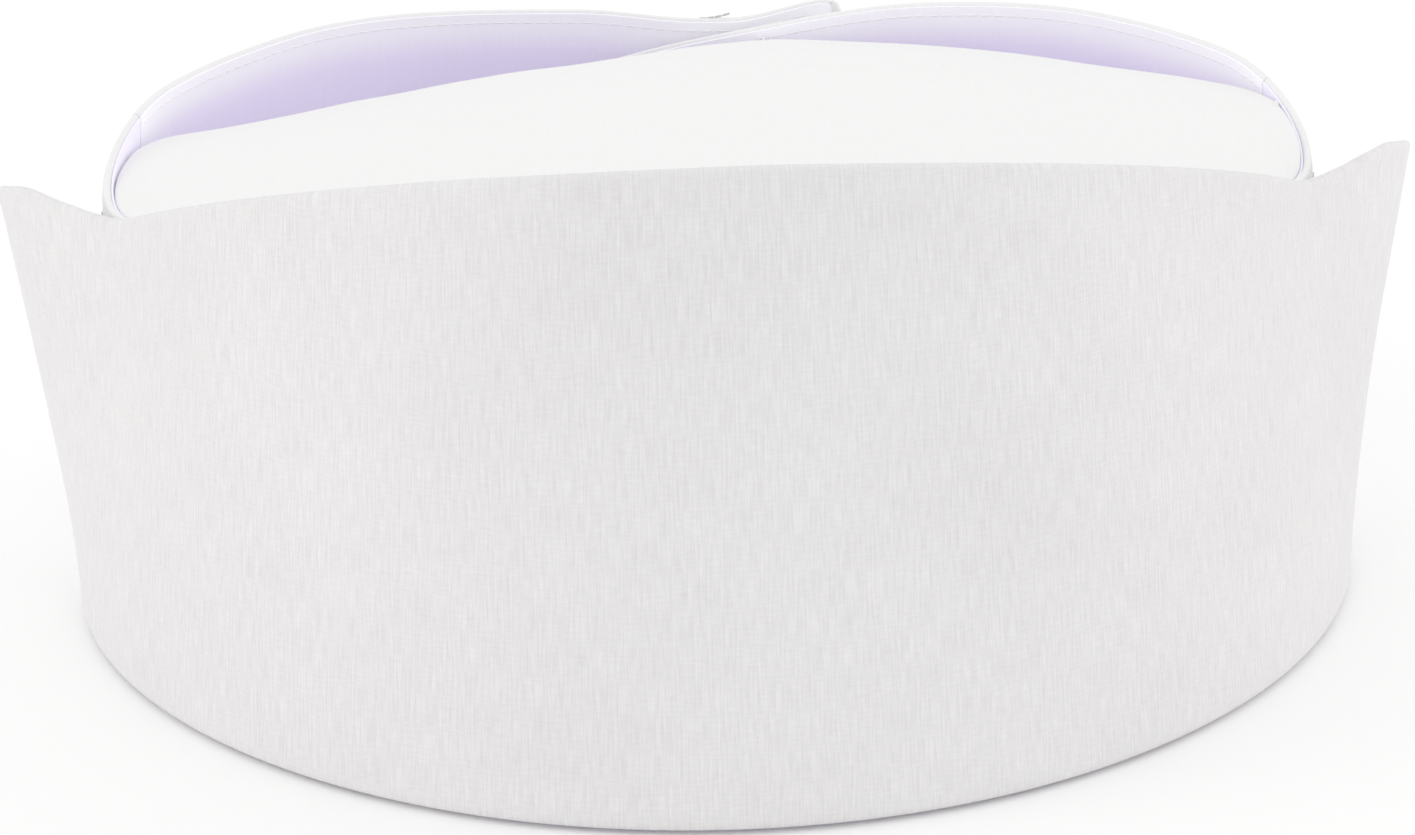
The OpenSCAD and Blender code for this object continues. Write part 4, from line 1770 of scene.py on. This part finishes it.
@dataclass(frozen=True)
class Studio:
    """The pale floor, the soft lights and the camera."""

    target: Vector = field(default_factory=lambda: Vector((-0.00104, 0.0, 0.0268)))
    distance: float = 0.620
    elevation: float = math.radians(22.0)
    azimuth: float = math.radians(-1.5)
    roll: float = -0.0243
    lens: float = 99.2

    def camera(self) -> None:
        """Adds the camera in front of the cap and above it."""
        back = Vector((math.sin(self.azimuth) * math.cos(self.elevation),
                       -math.cos(self.azimuth) * math.cos(self.elevation),
                       math.sin(self.elevation)))
        bpy.ops.object.camera_add(location=self.target + back * self.distance)
        camera = bpy.context.object
        turn = back.to_track_quat("Z", "Y").to_matrix() @ Matrix.Rotation(self.roll, 3, "Z")
        camera.rotation_euler = turn.to_euler()
        camera.data.lens = self.lens
        camera.data.sensor_width = 36.0
        camera.data.clip_start = 0.01
        bpy.context.scene.camera = camera

    def light(self, name: str, at: tuple[float, float, float], size: float, watts: float,
              colour: str) -> None:
        """Adds a square soft light that looks at the cap.

        Args:
            name: its name.
            at: its place in metres.
            size: its side in metres.
            watts: its power.
            colour: its colour as sRGB hex.
        """
        bpy.ops.object.light_add(type="AREA", location=at)
        lamp = bpy.context.object
        lamp.name = name
        lamp.data.size = size
        lamp.data.energy = watts
        lamp.data.color = linear(colour)[:3]
        away = Vector(at) - Vector((0.0, 0.0, 0.04))
        lamp.rotation_euler = away.to_track_quat("Z", "Y").to_euler()

    def build(self) -> None:
        """Builds the whole studio."""
        self.camera()
        select_none()
        bpy.ops.mesh.primitive_plane_add(size=6.0, location=(0.0, 0.0, -0.0005))
        floor = bpy.context.object
        floor.name = "studio_floor"
        paper = bpy.data.materials.new("matte_white_paper")
        paper.use_nodes = True
        shader = paper.node_tree.nodes["Principled BSDF"]
        shader.inputs["Base Color"].default_value = linear("#FEFEFE")
        shader.inputs["Roughness"].default_value = 0.95
        shader.inputs["Specular IOR Level"].default_value = 0.1
        floor.data.materials.append(paper)
        self.light("softbox_above", (0.0, -0.45, 1.5), 1.2, 1.4, "#FFFFFF")
        self.light("softbox_left", (-1.5, -0.1, 0.7), 0.9, 3.4, "#FFFDF8")
        self.light("softbox_right", (1.5, 0.25, 0.6), 0.9, 3.2, "#FFFDF8")
        world = bpy.data.worlds.new("soft_white_room")
        bpy.context.scene.world = world
        world.use_nodes = True
        sky = world.node_tree.nodes["Background"]
        sky.inputs["Color"].default_value = linear("#FFFFFF")
        sky.inputs["Strength"].default_value = 0.9
        bpy.context.scene.view_settings.view_transform = "Standard"


def main() -> None:
    """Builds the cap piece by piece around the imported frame."""
    logging.basicConfig(level=logging.INFO, format="%(name)s: %(message)s", stream=sys.stdout)
    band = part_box("crown_wall")
    form = CapForm(half_width=band[1].x / MM + CapForm.wall_depth + CapForm.side_taper * band[0].z / MM,
                   front_height=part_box("cuff_face")[1].z / MM)
    shop = Workshop(form, Finishes())
    Studio().build()
    Cuff(shop).build()
    Band(shop).build()
    crown = Crown(shop)
    crown.build()
    right = Tail(shop, Side.RIGHT, "cap", seed=53)
    left = Tail(shop, Side.LEFT, "outer_tail", seed=71)
    right.build()
    left.build()
    Patch(shop, right, "hook_tape", "hook_patch", Slot.HOOK, -1.2, 1.0).build()
    Patch(shop, left, "loop_tape", "loop_patch", Slot.LOOP, form.stack + 0.25, 7.0).build()
    Stitching(shop, right, left, crown).build()
    log.info("%d pieces built", len(shop.pieces))


if __name__ == "__main__":
    main()
